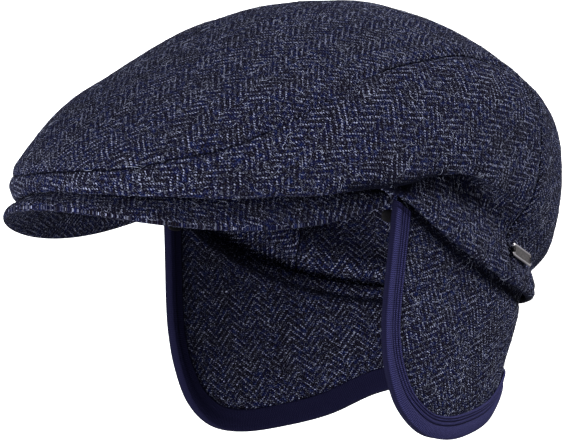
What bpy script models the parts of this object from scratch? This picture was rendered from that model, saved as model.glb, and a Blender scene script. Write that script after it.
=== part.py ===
"""Earflap ivy cap in herringbone tweed.

Metres, +Z up. The peak points to -Y and the wearer's left is +X.
The origin is the middle of the head opening, level with the peak's front edge.
Angles run round the head from 0 at the forehead over +90 at the left ear to 180 at the nape.
"""
from math import pi, radians

import bmesh
import bpy
import numpy as np
from mathutils import Matrix, Vector

# clearances and cloth
GAP = 0.0003
SEAT_GAP = 0.0006
BINDING_GAP = 0.00045
WALL = 0.0023

# head opening
HEAD_LENGTH = 0.202
HEAD_WIDTH = 0.164
FOREHEAD_RISE = 0.015
TEMPLE_SHARE = 0.30
NAPE_DROP = 0.041

# crown
CROWN_WIDTH = 0.196
CROWN_FRONT = 0.136
CROWN_REAR = 0.125
CROWN_HEIGHT = 0.0945
APEX_SET_BACK = 0.010
DENT_DEPTH = 0.0022

# peak
PEAK_REACH = 0.144
PEAK_WIDTH = 0.170
PEAK_MIDDLE = 0.020
PEAK_END = 0.0165
PEAK_THICKNESS = 0.0045
PEAK_SLOPE = 0.36
PEAK_CAMBER = 0.0426
PEAK_FALL = 1.3
PEAK_RIM = 0.12
PEAK_FRONT_LIFT = 0.001125

# ear flap and its binding
FLAP_DROP = 0.0992
FLAP_TUCK = 0.007
FLAP_LEAN_SIDE = 0.10
FLAP_LEAN_NAPE = 0.28
LEANS_MORE_FROM = radians(90)
LEANS_MORE_TO = radians(160)
BINDING_WIDTH = 0.0071
BINDING_WALL = 0.0011
BINDING_END_SLOPES_OVER = 0.02125

# little tab that ends behind the front of each flap
TAB_LENGTH = 0.009
TAB_HEIGHT = 0.0056
TAB_THICKNESS = 0.002
TAB_SHOWS = 0.0036
TAB_DROP = 0.0056

# badge
BADGE_LENGTH = 0.0230
BADGE_WIDTH = 0.0058
BADGE_THICKNESS = 0.0008
BADGE_CORNER = 0.0012
BADGE_NOTCH = 0.00145
BADGE_ANGLE = radians(134.5)
BADGE_RING = 2.8
BADGE_TURN = radians(12)

# angles of the crown tables' heights
STATIONS = np.radians((0, 40, 75, 100, 116, 135, 155, 180))

# Rows: name, place across the peak from its head side (0) to its rim (1), then beside and
# behind the head (side, rear) radius as shares of half the opening, squareness of the plan,
# heights at STATIONS as shares of NAPE_DROP
SKIRT_RINGS = (
    ("edge", 0.06, (1.060, 1.085), 2.1, (0.18, 0.18, 0.175, -0.35, -0.63, -0.86, -0.97, -1.00)),
    ("hem", 0.20, (1.085, 1.130), 2.1, (0.24, 0.24, 0.24, -0.26, -0.54, -0.77, -0.88, -0.91)),
    ("skirt", 0.36, (1.075, 1.120), 2.1, (0.33, 0.33, 0.33, -0.04, -0.36, -0.63, -0.75, -0.78)),
    ("valley", 0.52, (1.045, 1.125), 2.1, (0.38, 0.38, 0.38, 0.38, 0.10, -0.44, -0.65, -0.69)),
)
LEAVES_PEAK_FROM = radians(64)
LEAVES_PEAK_TO = radians(77)
# The same for the crown: radii as shares of CROWN_WIDTH / 2, CROWN_FRONT and CROWN_REAR,
# heights as shares of CROWN_HEIGHT
CROWN_RINGS = (
    ("lip", (0.965, 0.990, 0.960), (2.05, 2.15), (0.050, 0.020, 0.075, 0.150, 0.100, 0.010, -0.18, -0.19)),
    ("bulge", (1.000, 1.000, 1.000), (2.10, 2.20), (0.125, 0.140, 0.200, 0.260, 0.260, 0.220, 0.18, 0.17)),
    ("shoulder", (0.950, 0.860, 0.900), (2.10, 2.20), (0.400, 0.430, 0.510, 0.560, 0.565, 0.550, 0.53, 0.52)),
    ("brow", (0.710, 0.630, 0.550), (2.05, 2.10), (0.660, 0.710, 0.780, 0.810, 0.815, 0.805, 0.79, 0.78)),
    ("top", (0.370, 0.360, 0.230), (2.00, 2.00), (0.890, 0.920, 0.950, 0.960, 0.960, 0.955, 0.95, 0.945)),
)
APEX_RING = float(len(SKIRT_RINGS) + len(CROWN_RINGS))

# Rows: angle, ring position, spread in degrees, spread in rings, share of DENT_DEPTH
DENTS = (
    (152, 6.35, 20, 0.45, 1.00),
    (-148, 6.30, 24, 0.50, 0.80),
    (70, 5.60, 26, 0.50, 0.60),
    (-62, 5.70, 24, 0.50, 0.70),
    (28, 6.30, 16, 0.60, 0.55),
    (118, 4.90, 14, 0.40, 0.60),
    (-114, 4.90, 14, 0.40, 0.50),
)

# Seam between the top and side panels. Rows: angle in degrees, ring position
TOP_SEAM = (
    (0, 5.10), (20, 5.10), (28, 5.24), (36, 5.34), (44, 5.54), (52, 5.76),
    (62, 6.08), (73, 6.30), (85, 6.42), (99, 6.49), (116, 6.42), (127, 6.25),
)
# The seam's way down the back. Rows: ring position, angle in degrees
REAR_SEAM = ((0, 126), (3, 128), (4, 129), (5, 129), (5.7, 130), (6.25, 127))
SEAM_FRONT_CORNER = 20
PANEL_ROWS = (0, 0.5, 1, 1.6, 2.2, 2.7, 3.2, 3.6, 4, 4.5, 5, 5.4, 5.8, 6.25)
ROWS_FOLLOW_RINGS_TO = 4.5
FRONT_CELLS = 14
SIDE_CELLS = 18

# Free edge of the flap. Rows: angle in degrees, share of FLAP_DROP below the hem's front end
FLAP_EDGE = (
    (82.6, 0.00), (82.1, 0.134), (81.5, 0.273), (80.9, 0.412), (80.9, 0.549), (82.7, 0.708), (87.5, 0.864),
    (96.4, 0.969), (108, 1.00), (123, 0.976), (138, 0.921), (152, 0.820), (166, 0.772), (180, 0.752),
)
FLAP_CORNER_ROW = 6
FLAP_COLUMNS = 20
FLAP_ROWS = 12
BINDING_STATIONS = 96


def curve_through(places, values, at):
    """Smooth curve through the rows of a table, level at both ends."""
    places = np.asarray(places, float)
    values = np.asarray(values, float)
    at = np.clip(at, places[0], places[-1])
    row = np.clip(np.searchsorted(places, at, side="right") - 1, 0, len(places) - 2)
    slopes = np.zeros(len(places))
    slopes[1:-1] = (values[2:] - values[:-2]) / (places[2:] - places[:-2])
    step = places[row + 1] - places[row]
    share = (at - places[row]) / step
    return hermite(values[row], values[row + 1], slopes[row] * step, slopes[row + 1] * step, share)


def hermite(start, end, start_slope, end_slope, share):
    rise = share * share * (3 - 2 * share)
    return (start * (1 - rise) + end * rise
            + start_slope * share * (1 - share) ** 2 - end_slope * share * share * (1 - share))


def smooth_step(low, high, at):
    share = np.clip((at - low) / (high - low), 0, 1)
    return share * share * (3 - 2 * share)


def from_front(angle):
    """Angle away from the forehead, 0 to 180 degrees on either side."""
    return np.abs((np.asarray(angle, float) + pi) % (2 * pi) - pi)


def oval(angle, side, front, rear, squareness=(2.0, 2.0)):
    """Radius of a plan oval that reaches front, side and rear."""
    ahead = np.cos(angle)
    power = np.where(ahead > 0, squareness[0], squareness[1])
    reach = np.where(ahead > 0, front, rear)
    return ((np.abs(np.sin(angle)) / side) ** power + (np.abs(ahead) / reach) ** power) ** (-1 / power)


def at_radius(angle, radius, height):
    angle, radius, height = np.broadcast_arrays(angle, radius, height)
    return np.stack([radius * np.sin(angle), -radius * np.cos(angle), height], -1)


def unit(vectors):
    return vectors / np.linalg.norm(vectors, axis=-1, keepdims=True)


# Peak

def head_radius(angle):
    return oval(angle, HEAD_WIDTH / 2, HEAD_LENGTH / 2, HEAD_LENGTH / 2)


def peak_radius(angle):
    """Radius of the peak's outer edge, an ellipse whose middle lies ahead of the head's."""
    long = PEAK_REACH - PEAK_MIDDLE
    wide = PEAK_WIDTH / 2
    across, ahead = np.sin(angle), np.cos(angle)
    a = (across / wide) ** 2 + (ahead / long) ** 2
    b = -2 * ahead * PEAK_MIDDLE / long ** 2
    c = (PEAK_MIDDLE / long) ** 2 - 1
    return (-b + np.sqrt(b * b - 4 * a * c)) / (2 * a)


def peak_top(angle, radius):
    """Height of the peak's upper face."""
    inner = head_radius(angle)
    outer = peak_radius(angle)
    out = np.clip((radius - inner) / np.maximum(outer - inner, GAP), 0, 1)
    aside = outer * np.sin(angle) / (PEAK_WIDTH / 2)
    y = -outer * np.cos(angle)
    edge_height = PEAK_FRONT_LIFT + PEAK_SLOPE * (y + PEAK_REACH) - PEAK_CAMBER * aside ** 2
    head_height = FOREHEAD_RISE * (TEMPLE_SHARE + (1 - TEMPLE_SHARE) * np.cos(angle))
    return edge_height + (head_height - edge_height) * (1 - out ** PEAK_FALL)


def peak_end_angle():
    x = PEAK_WIDTH / 2
    return np.arctan2(x, PEAK_END)


# Crown

def ring_points(ring, angle):
    """Points of one ring of the crown."""
    if ring < len(SKIRT_RINGS):
        name, across, (side, rear), squareness, heights = SKIRT_RINGS[ring]
        half_length = HEAD_LENGTH / 2
        radius = oval(angle, side * HEAD_WIDTH / 2, side * half_length, rear * half_length, (2, squareness))
        height = NAPE_DROP * curve_through(STATIONS, heights, from_front(angle))
        on_peak = head_radius(angle) + across * (peak_radius(angle) - head_radius(angle))
        beside = smooth_step(LEAVES_PEAK_FROM, LEAVES_PEAK_TO, from_front(angle))
        radius = on_peak * (1 - beside) + radius * beside
        resting = np.maximum(peak_top(angle, radius), peak_top(angle, radius - WALL)) + SEAT_GAP
        height = np.maximum(height * beside + resting * (1 - beside), np.where(beside < 1, resting, height))
        return at_radius(angle, radius, height)
    name, (side, front, rear), squareness, heights = CROWN_RINGS[ring - len(SKIRT_RINGS)]
    radius = oval(angle, side * CROWN_WIDTH / 2, front * CROWN_FRONT, rear * CROWN_REAR, squareness)
    height = CROWN_HEIGHT * curve_through(STATIONS, heights, from_front(angle))
    points = at_radius(angle, radius, height)
    points[..., 1] += APEX_SET_BACK * smooth_step(0.3 * CROWN_HEIGHT, CROWN_HEIGHT, height)
    return points


def above_peak(points, angle):
    """Lift the points that would sink into the peak on to its upper face."""
    radius = np.hypot(points[..., 0], points[..., 1])
    over = (from_front(angle) < peak_end_angle()) & (radius < peak_radius(angle))
    floor = peak_top(angle, radius) + SEAT_GAP
    points[..., 2] = np.where(over, np.maximum(points[..., 2], floor), points[..., 2])
    return points


def smooth_crown(angle, ring):
    """Point of the crown's outside before dents: a smooth curve up through the rings."""
    angle, ring = np.broadcast_arrays(np.asarray(angle, float), np.asarray(ring, float))
    last = int(APEX_RING) - 1
    knots = [ring_points(i, angle) for i in range(last + 1)]
    apex = np.broadcast_to(np.array((0.0, APEX_SET_BACK, CROWN_HEIGHT)), knots[0].shape)
    knots = np.stack(knots + [apex, ring_points(last, angle + pi)], -2)
    steps = np.diff(knots, axis=-2)
    lengths = np.sqrt(np.maximum(np.linalg.norm(steps, axis=-1, keepdims=True), 1e-4))
    slopes = np.zeros_like(knots)
    before, after = lengths[..., :-1, :], lengths[..., 1:, :]
    pace = steps / lengths
    slopes[..., 1:-1, :] = (after * pace[..., :-1, :] + before * pace[..., 1:, :]) / (before + after)
    slopes[..., 0, :] = pace[..., 0, :]
    index = np.clip(np.floor(ring).astype(int), 0, last)
    share = (ring - index)[..., None]

    def pick(values, k):
        return np.take_along_axis(values, k[..., None, None], -2)[..., 0, :]

    length = pick(lengths, index)
    points = hermite(pick(knots, index), pick(knots, index + 1),
                     pick(slopes, index) * length, pick(slopes, index + 1) * length, share)
    return above_peak(points, angle)


def crown_normal(angle, ring, surface):
    """Outward direction of a surface given by angle and ring position."""
    small = 1e-3
    ring = np.minimum(ring, APEX_RING - 5 * small)
    low = np.maximum(ring - small, 0)
    round_head = surface(angle + small, ring) - surface(angle - small, ring)
    upward = surface(angle, ring + small) - surface(angle, low)
    return unit(np.cross(round_head, upward))


def crown_outside(angle, ring):
    """Point of the crown's outside, dents included."""
    points = smooth_crown(angle, ring)
    inward = np.zeros(points.shape[:-1])
    for dent_angle, dent_ring, wide, tall, share in DENTS:
        away = np.degrees((angle - radians(dent_angle) + pi) % (2 * pi) - pi) / wide
        inward = inward + share * DENT_DEPTH * np.exp(-away ** 2 - ((ring - dent_ring) / tall) ** 2)
    return points - inward[..., None] * crown_normal(angle, ring, smooth_crown)


def crown_shell(angle, ring):
    """Outer and inner faces of the crown's cloth."""
    outer = crown_outside(angle, ring)
    return outer, outer - WALL * crown_normal(angle, ring, crown_outside)


def top_seam(degrees):
    angles, rings = zip(*TOP_SEAM)
    return curve_through(angles, rings, np.abs(degrees))


def rear_seam(ring):
    rings, angles = zip(*REAR_SEAM)
    return curve_through(rings, angles, ring)


def seam_stations():
    """Angles of the grid lines that meet the top seam, from one rear corner to the other."""
    corner = rear_seam(PANEL_ROWS[-1])
    front = np.linspace(0, SEAM_FRONT_CORNER, FRONT_CELLS // 2 + 1)
    side = np.linspace(SEAM_FRONT_CORNER, corner, SIDE_CELLS + 1)[1:]
    half = np.concatenate([front, side])
    return np.concatenate([-half[:0:-1], half])


def side_panel_grid():
    """Angles and ring positions of the side panel, rows upward from the hem."""
    columns = seam_stations()[None, :]
    rows = np.array(PANEL_ROWS, float)[:, None]
    angle = columns * rear_seam(rows) / rear_seam(PANEL_ROWS[-1])
    follow = ROWS_FOLLOW_RINGS_TO
    share = (rows - follow) / (PANEL_ROWS[-1] - follow)
    ring = np.where(rows <= follow, rows, follow + share * (top_seam(columns) - follow))
    return np.radians(angle), ring + 0 * angle


def patch(front, rear, left, right):
    """Grid that fills four edge curves which meet at their ends."""
    u = np.linspace(0, 1, len(front))[None, :, None]
    v = np.linspace(0, 1, len(left))[:, None, None]
    across = (1 - v) * front[None] + v * rear[None]
    along = (1 - u) * left[:, None] + u * right[:, None]
    corners = ((1 - u) * (1 - v) * front[0] + u * (1 - v) * front[-1]
               + (1 - u) * v * rear[0] + u * v * rear[-1])
    return across + along - corners


def to_disc(degrees, ring):
    """Flat chart of the crown with the apex in its middle."""
    angle = np.radians(degrees)
    radius = 1 - ring / APEX_RING
    return np.stack([radius * np.sin(angle), -radius * np.cos(angle)], -1)


def top_panel_grid():
    """Angles and ring positions of the top panel, rows from the front seam over the top to the nape."""
    stations = seam_stations()
    front = stations[SIDE_CELLS:-SIDE_CELLS]
    left = stations[SIDE_CELLS::-1]
    right = stations[-SIDE_CELLS - 1:]
    corner = PANEL_ROWS[-1]
    back = -rear_seam(corner) - np.linspace(0, 1, len(front)) * (360 - 2 * rear_seam(corner))
    disc = patch(to_disc(front, top_seam(front)), to_disc(back, np.full(len(back), corner)),
                 to_disc(left, top_seam(left)), to_disc(right, top_seam(right)))
    cap_angle = np.arctan2(disc[..., 0], -disc[..., 1])
    cap_ring = APEX_RING * (1 - np.linalg.norm(disc, axis=-1))
    rows = np.array(PANEL_ROWS[-2::-1], float)[:, None]
    share = np.linspace(0, 1, len(front))[None, :]
    back_angle = np.radians(-rear_seam(rows) - share * (360 - 2 * rear_seam(rows)))
    back_ring = rows + 0 * back_angle
    return np.concatenate([cap_angle, back_angle]), np.concatenate([cap_ring, back_ring])


def ease(grid, sides):
    """Draw the given edges of a grid back by the gap, along the cloth."""
    grid = grid.copy()
    if "first_row" in sides:
        grid[0] += GAP * unit(grid[1] - grid[0])
    if "last_row" in sides:
        grid[-1] += GAP * unit(grid[-2] - grid[-1])
    if "columns" in sides:
        grid[:, 0] += GAP * unit(grid[:, 1] - grid[:, 0])
        grid[:, -1] += GAP * unit(grid[:, -2] - grid[:, -1])
    return grid


# Ear flap

def flap_point(angle, height):
    """Point of the flap's outside: it hangs just inside the hem and leans in towards the neck."""
    hem = ring_points(0, angle)
    radius = np.hypot(hem[..., 0], hem[..., 1]) - WALL - GAP
    below = np.maximum(hem[..., 2] - height, 0)
    towards_nape = smooth_step(LEANS_MORE_FROM, LEANS_MORE_TO, from_front(angle))
    lean = FLAP_LEAN_SIDE + (FLAP_LEAN_NAPE - FLAP_LEAN_SIDE) * towards_nape
    return at_radius(angle, radius - lean * below, height)


def flap_edge(start, end, count):
    """Chart points (degrees, height) of the free edge between two rows of its table."""
    rows = np.array(FLAP_EDGE)
    reach = HEAD_LENGTH / 2
    hem_end = ring_points(0, np.radians(rows[0, 0]))[..., 2] - BINDING_WALL
    steps = np.hypot(np.diff(np.radians(rows[:, 0])) * reach, np.diff(rows[:, 1]) * FLAP_DROP)
    places = np.concatenate([[0], np.cumsum(steps)])
    at = np.linspace(places[start], places[end], count)
    degrees = curve_through(places, rows[:, 0], at)
    height = hem_end - FLAP_DROP * curve_through(places, rows[:, 1], at)
    return np.stack([degrees, height], -1)


def flap_top(degrees):
    return ring_points(0, np.radians(degrees))[..., 2] + FLAP_TUCK


def flap_half():
    """Chart of the left half of the flap: rows downward, columns from the front edge to the nape."""
    last = len(FLAP_EDGE) - 1
    front = flap_edge(0, FLAP_CORNER_ROW, FLAP_ROWS + 1)
    bottom = flap_edge(FLAP_CORNER_ROW, last, FLAP_COLUMNS + 1)
    front[0, 1] = flap_top(front[0, 0])
    top_degrees = np.linspace(front[0, 0], 180, FLAP_COLUMNS + 1)
    top = np.stack([top_degrees, flap_top(top_degrees)], -1)
    nape_heights = np.linspace(top[-1, 1], bottom[-1, 1], FLAP_ROWS + 1)
    nape = np.stack([np.full(FLAP_ROWS + 1, 180.0), nape_heights], -1)
    return patch(top, bottom, front, nape)


def flap_normal(angle, height):
    small = 1e-4
    round_head = flap_point(angle + small, height) - flap_point(angle - small, height)
    upward = flap_point(angle, height + small) - flap_point(angle, height - small)
    return unit(np.cross(round_head, upward))


def flap_shell():
    half = flap_half()
    other = half[:, ::-1].copy()
    other[..., 0] = 360 - other[..., 0]
    chart = np.concatenate([other[:, ::-1][:, :-1], half[:, ::-1]], 1)
    angle, height = np.radians(chart[..., 0]), chart[..., 1]
    outer = flap_point(angle, height)
    return outer, outer - WALL * flap_normal(angle, height)


# Meshes

def material(name, colour, roughness, metallic=0.0):
    made = bpy.data.materials.new(name)
    made.use_nodes = True
    shader = made.node_tree.nodes["Principled BSDF"]
    shader.inputs["Base Color"].default_value = (*colour, 1.0)
    shader.inputs["Roughness"].default_value = roughness
    shader.inputs["Metallic"].default_value = metallic
    return made


def add_object(name, points, faces, finish, sharp=radians(50)):
    mesh = bpy.data.meshes.new(name)
    mesh.from_pydata([tuple(p) for p in points], [], faces)
    mesh.materials.append(finish)
    mesh.shade_smooth()
    mesh.set_sharp_from_angle(angle=sharp)
    made = bpy.data.objects.new(name, mesh)
    bpy.context.scene.collection.objects.link(made)
    return made


def shell_object(name, outer, inner, finish):
    """Closed sheet of cloth between an outer and an inner grid."""
    rows, columns = outer.shape[:2]
    points = np.concatenate([outer.reshape(-1, 3), inner.reshape(-1, 3)])
    inside = rows * columns
    faces = []
    for i in range(rows - 1):
        for j in range(columns - 1):
            a = i * columns + j
            quad = (a, a + 1, a + columns + 1, a + columns)
            faces.append(quad)
            faces.append(tuple(inside + k for k in reversed(quad)))
    rim = list(range(columns - 1))
    rim += [i * columns + columns - 1 for i in range(rows - 1)]
    rim += [(rows - 1) * columns + j for j in range(columns - 1, 0, -1)]
    rim += [i * columns for i in range(rows - 1, 0, -1)]
    for a, b in zip(rim, rim[1:] + rim[:1]):
        faces.append((b, a, inside + a, inside + b))
    return add_object(name, points, faces, finish)


def tube_object(name, loops, finish):
    """Solid between the loops of a row of sections, with flat ends."""
    count, around = loops.shape[:2]
    faces = []
    for i in range(count - 1):
        for j in range(around):
            k = (j + 1) % around
            faces.append((i * around + j, i * around + k, (i + 1) * around + k, (i + 1) * around + j))
    faces.append(tuple(range(around))[::-1])
    faces.append(tuple((count - 1) * around + j for j in range(around)))
    return add_object(name, loops.reshape(-1, 3), faces, finish)


# Pieces

def make_side_panel(finish):
    outer, inner = crown_shell(*side_panel_grid())
    seams = ("last_row", "columns")
    return shell_object("crown_side", ease(outer, seams), ease(inner, seams), finish)


def make_top_panel(finish):
    outer, inner = crown_shell(*top_panel_grid())
    seams = ("first_row", "columns")
    return shell_object("crown_top", ease(outer, seams), ease(inner, seams), finish)


def make_peak(finish):
    """Stiff crescent covered in cloth, its outer edge rounded."""
    end = peak_end_angle()
    columns = side_panel_grid()[0][0]
    angles = np.concatenate([[-end], columns[np.abs(columns) < end - radians(2)], [end]])
    across = np.array((0, 0.22, 0.44, 0.64, 0.80, 0.91, 0.97, 1.0))
    into_rim = np.maximum(across - (1 - PEAK_RIM), 0) / PEAK_RIM
    full = np.sqrt(1 - into_rim ** 2)
    sections = []
    for angle in angles:
        inner, outer = head_radius(angle), peak_radius(angle)
        radius = inner + across * (outer - inner)
        middle = peak_top(np.full(len(radius), angle), radius) - PEAK_THICKNESS / 2
        upper = at_radius(angle, radius, middle + full * PEAK_THICKNESS / 2)
        lower = at_radius(angle, radius, middle - full * PEAK_THICKNESS / 2)
        sections.append(np.concatenate([upper, lower[-2::-1]]))
    return tube_object("peak", np.array(sections), finish)


def make_flap(finish):
    outer, inner = flap_shell()
    return shell_object("ear_flap", outer, inner, finish)


def flap_rim():
    """The flap's free edge from one front end to the other: angle, height and the way into the cloth."""
    half = flap_edge(0, len(FLAP_EDGE) - 1, BINDING_STATIONS // 2 + 1)
    other = half[::-1].copy()
    other[:, 0] = 360 - other[:, 0]
    chart = np.concatenate([half, other[1:]])
    angle, height = np.radians(chart[:, 0]), chart[:, 1]
    forward = unit(np.gradient(flap_point(angle, height), axis=0))
    return angle, height, unit(np.cross(flap_normal(angle, height), forward))


def near_rim(rim, along, out):
    """Points that lie a way into the cloth from the flap's rim and a way out of its face."""
    angle, height, into_cloth = rim
    radius = np.linalg.norm(flap_point(angle, height)[:, :2], axis=-1)
    round_head = into_cloth[:, 0] * np.cos(angle) + into_cloth[:, 1] * np.sin(angle)
    turned = angle + along * round_head / radius
    near_end = 1 - smooth_step(0, BINDING_END_SLOPES_OVER, height.max() - height)
    slope = ring_points(0, turned)[:, 2] - ring_points(0, angle)[:, 2]
    level = height + along * into_cloth[:, 2] + near_end * slope
    return flap_point(turned, level) + out * flap_normal(turned, level)


def make_binding(finish):
    """Tape folded over the free edge of the flap: a channel section, its two ends sloped to the hem."""
    rim = flap_rim()
    above = BINDING_GAP
    below = -WALL - BINDING_GAP
    fold = -BINDING_GAP
    shoulder = 0.35 * BINDING_WIDTH
    section = (
        (BINDING_WIDTH, above), (BINDING_WIDTH, above + BINDING_WALL),
        (shoulder, above + BINDING_WALL), (fold, above + 0.8 * BINDING_WALL),
        (fold - BINDING_WALL, above - 0.6 * WALL), (fold - BINDING_WALL, below + 0.6 * WALL),
        (fold, below - 0.8 * BINDING_WALL), (shoulder, below - BINDING_WALL),
        (BINDING_WIDTH, below - BINDING_WALL), (BINDING_WIDTH, below),
        (fold, below), (fold, above),
    )
    loops = [near_rim(rim, along, out) for along, out in section]
    return tube_object("flap_binding", np.stack(loops, 1), finish)


def place(made, point, along, up, outward):
    """Set an object down with its X along, Y up and Z outward."""
    axes = Matrix([along, up, outward]).transposed()
    made.matrix_world = Matrix.Translation(Vector(point)) @ axes.to_4x4()


def make_tab(name, frame, finish):
    """Rounded end of a tab that lies behind the flap and shows a little in front of it."""
    point, outward, into_cloth, along_edge = frame
    mesh = bpy.data.meshes.new(name)
    shape = bmesh.new()
    bmesh.ops.create_cube(shape, size=1.0)
    bmesh.ops.scale(shape, vec=(TAB_LENGTH, TAB_HEIGHT, TAB_THICKNESS), verts=shape.verts)
    shape.to_mesh(mesh)
    shape.free()
    mesh.materials.append(finish)
    mesh.shade_smooth()
    made = bpy.data.objects.new(name, mesh)
    bpy.context.scene.collection.objects.link(made)
    bevel = made.modifiers.new("rounded", "BEVEL")
    bevel.width = 0.45 * TAB_THICKNESS
    bevel.segments = 2
    behind = WALL + BINDING_GAP + BINDING_WALL + GAP + TAB_THICKNESS / 2
    back = TAB_LENGTH / 2 - TAB_SHOWS - BINDING_WALL - BINDING_GAP
    place(made, point - behind * outward + back * into_cloth, into_cloth, along_edge, outward)
    return made


def make_tabs(finish):
    angle, height, into_cloth = flap_rim()
    outward = flap_normal(angle, height)
    points = flap_point(angle, height)
    row = int(np.argmax(height < height[0] - TAB_DROP))
    for name, k in (("flap_tab_left", row), ("flap_tab_right", -1 - row)):
        frame = (points[k], outward[k], into_cloth[k], np.cross(outward[k], into_cloth[k]))
        make_tab(name, frame, finish)


def badge_outline():
    """Rectangle with rounded corners and a half-round notch in each short end."""
    length, width = BADGE_LENGTH / 2, BADGE_WIDTH / 2
    quarter = np.linspace(0, pi / 2, 4)
    corner = BADGE_CORNER * np.stack([np.cos(quarter), np.sin(quarter)], -1)
    upper = corner + (length - BADGE_CORNER, width - BADGE_CORNER)
    turn = np.linspace(-pi / 2, pi / 2, 7)
    notch = np.stack([length - BADGE_NOTCH * np.cos(turn), BADGE_NOTCH * np.sin(turn)], -1)
    right = np.concatenate([upper[::-1] * (1, -1), notch, upper])
    return np.concatenate([right, -right])


def make_badge(finish):
    """Small metal plate on the back panel, just behind the left rear seam."""
    outline = badge_outline()
    half = BADGE_THICKNESS / 2
    loops = np.stack([np.column_stack([outline, np.full(len(outline), z)]) for z in (-half, half)])
    made = tube_object("badge", loops, finish)
    angle, ring = np.array(BADGE_ANGLE), np.array(BADGE_RING)
    outward = crown_normal(angle, ring, crown_outside)
    level = unit(np.cross((0, 0, 1), outward))
    up = np.cross(outward, level)
    along = np.cos(BADGE_TURN) * level - np.sin(BADGE_TURN) * up
    across = np.cross(outward, along)
    point = crown_outside(angle, ring)
    lift = cloth_rise(point, along, across, outward) + GAP + half
    place(made, point + lift * outward, along, across, outward)
    return made


def cloth_rise(point, along, across, outward):
    """How far the crown's cloth under the badge rises above the plane through a point."""
    reach = 1.2 * BADGE_LENGTH / HEAD_LENGTH
    angles = np.linspace(BADGE_ANGLE - reach, BADGE_ANGLE + reach, 61)[:, None]
    rings = np.linspace(BADGE_RING - 1, BADGE_RING + 1, 41)[None, :]
    cloth = crown_outside(*np.broadcast_arrays(angles, rings)) - point
    under = np.abs(cloth @ along) < BADGE_LENGTH / 2 + GAP
    under &= np.abs(cloth @ across) < BADGE_WIDTH / 2 + GAP
    return np.max((cloth @ outward)[under])


def main():
    for old in list(bpy.data.objects):
        bpy.data.objects.remove(old, do_unlink=True)
    tweed = material("tweed", (0.026, 0.028, 0.055), 0.95)
    tape = material("binding_tape", (0.030, 0.030, 0.072), 0.8)
    make_top_panel(tweed)
    make_side_panel(tweed)
    make_peak(tweed)
    make_flap(tweed)
    make_binding(tape)
    make_tabs(material("tab_black", (0.004, 0.003, 0.007), 0.6))
    make_badge(material("badge_metal", (0.25, 0.24, 0.24), 0.35, metallic=1.0))


main()
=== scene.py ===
"""Navy herringbone tweed ivy cap with a fold-down ear flap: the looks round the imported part.

Metres, +Z up. The peak points to -Y and the wearer's left is +X.
The origin is the middle of the head opening, level with the peak's front edge.
Angles run round the head from 0 at the forehead over +90 at the left ear to 180 at the nape.
"""
from math import cos, pi, radians, sin

import bpy
import numpy as np
from mathutils import Matrix, Vector
from mathutils.kdtree import KDTree

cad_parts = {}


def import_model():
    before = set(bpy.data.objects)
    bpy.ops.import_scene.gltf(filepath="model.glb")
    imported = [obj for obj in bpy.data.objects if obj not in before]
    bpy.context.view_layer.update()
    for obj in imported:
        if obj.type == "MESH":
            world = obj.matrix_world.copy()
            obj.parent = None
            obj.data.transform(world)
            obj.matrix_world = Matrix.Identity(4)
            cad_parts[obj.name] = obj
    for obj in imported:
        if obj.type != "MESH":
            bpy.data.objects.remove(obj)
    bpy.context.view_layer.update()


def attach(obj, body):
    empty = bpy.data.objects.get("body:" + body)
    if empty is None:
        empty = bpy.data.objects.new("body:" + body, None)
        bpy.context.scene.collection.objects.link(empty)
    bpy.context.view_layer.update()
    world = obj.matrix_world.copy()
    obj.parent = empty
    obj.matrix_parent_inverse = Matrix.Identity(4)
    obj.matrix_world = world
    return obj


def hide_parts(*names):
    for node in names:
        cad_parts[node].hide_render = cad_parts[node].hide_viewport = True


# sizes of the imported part
GAP = 0.0003
SEAT_GAP = 0.0006
BINDING_GAP = 0.00045
WALL = 0.0023
HEAD_LENGTH = 0.202
HEAD_WIDTH = 0.164
FOREHEAD_RISE = 0.015
TEMPLE_SHARE = 0.30
NAPE_DROP = 0.041
CROWN_WIDTH = 0.196
CROWN_FRONT = 0.136
CROWN_REAR = 0.125
CROWN_HEIGHT = 0.0945
APEX_SET_BACK = 0.010
SET_BACK_FROM = 0.3
DENT_DEPTH = 0.0022
PEAK_REACH = 0.144
PEAK_WIDTH = 0.170
PEAK_MIDDLE = 0.020
PEAK_END = 0.0165
PEAK_THICKNESS = 0.0045
PEAK_SLOPE = 0.36
PEAK_CAMBER = 0.0426
PEAK_FALL = 1.3
PEAK_FRONT_LIFT = 0.001125
FLAP_DROP = 0.0992
FLAP_TUCK = 0.007
FLAP_LEAN_SIDE = 0.10
FLAP_LEAN_NAPE = 0.28
LEANS_MORE_FROM = radians(90)
LEANS_MORE_TO = radians(160)
BINDING_WIDTH = 0.0071
BINDING_WALL = 0.0011
BINDING_END_SLOPES_OVER = 0.02125
BADGE_LENGTH = 0.0230
BADGE_WIDTH = 0.0058
BADGE_THICKNESS = 0.0008
BADGE_CORNER = 0.0012
BADGE_NOTCH = 0.00145
BADGE_ANGLE = radians(134.5)
BADGE_RING = 2.8
BADGE_TURN = radians(12)

# angles of the heights in the two tables of rings
STATIONS = np.radians((0, 40, 75, 100, 116, 135, 155, 180))

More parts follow.
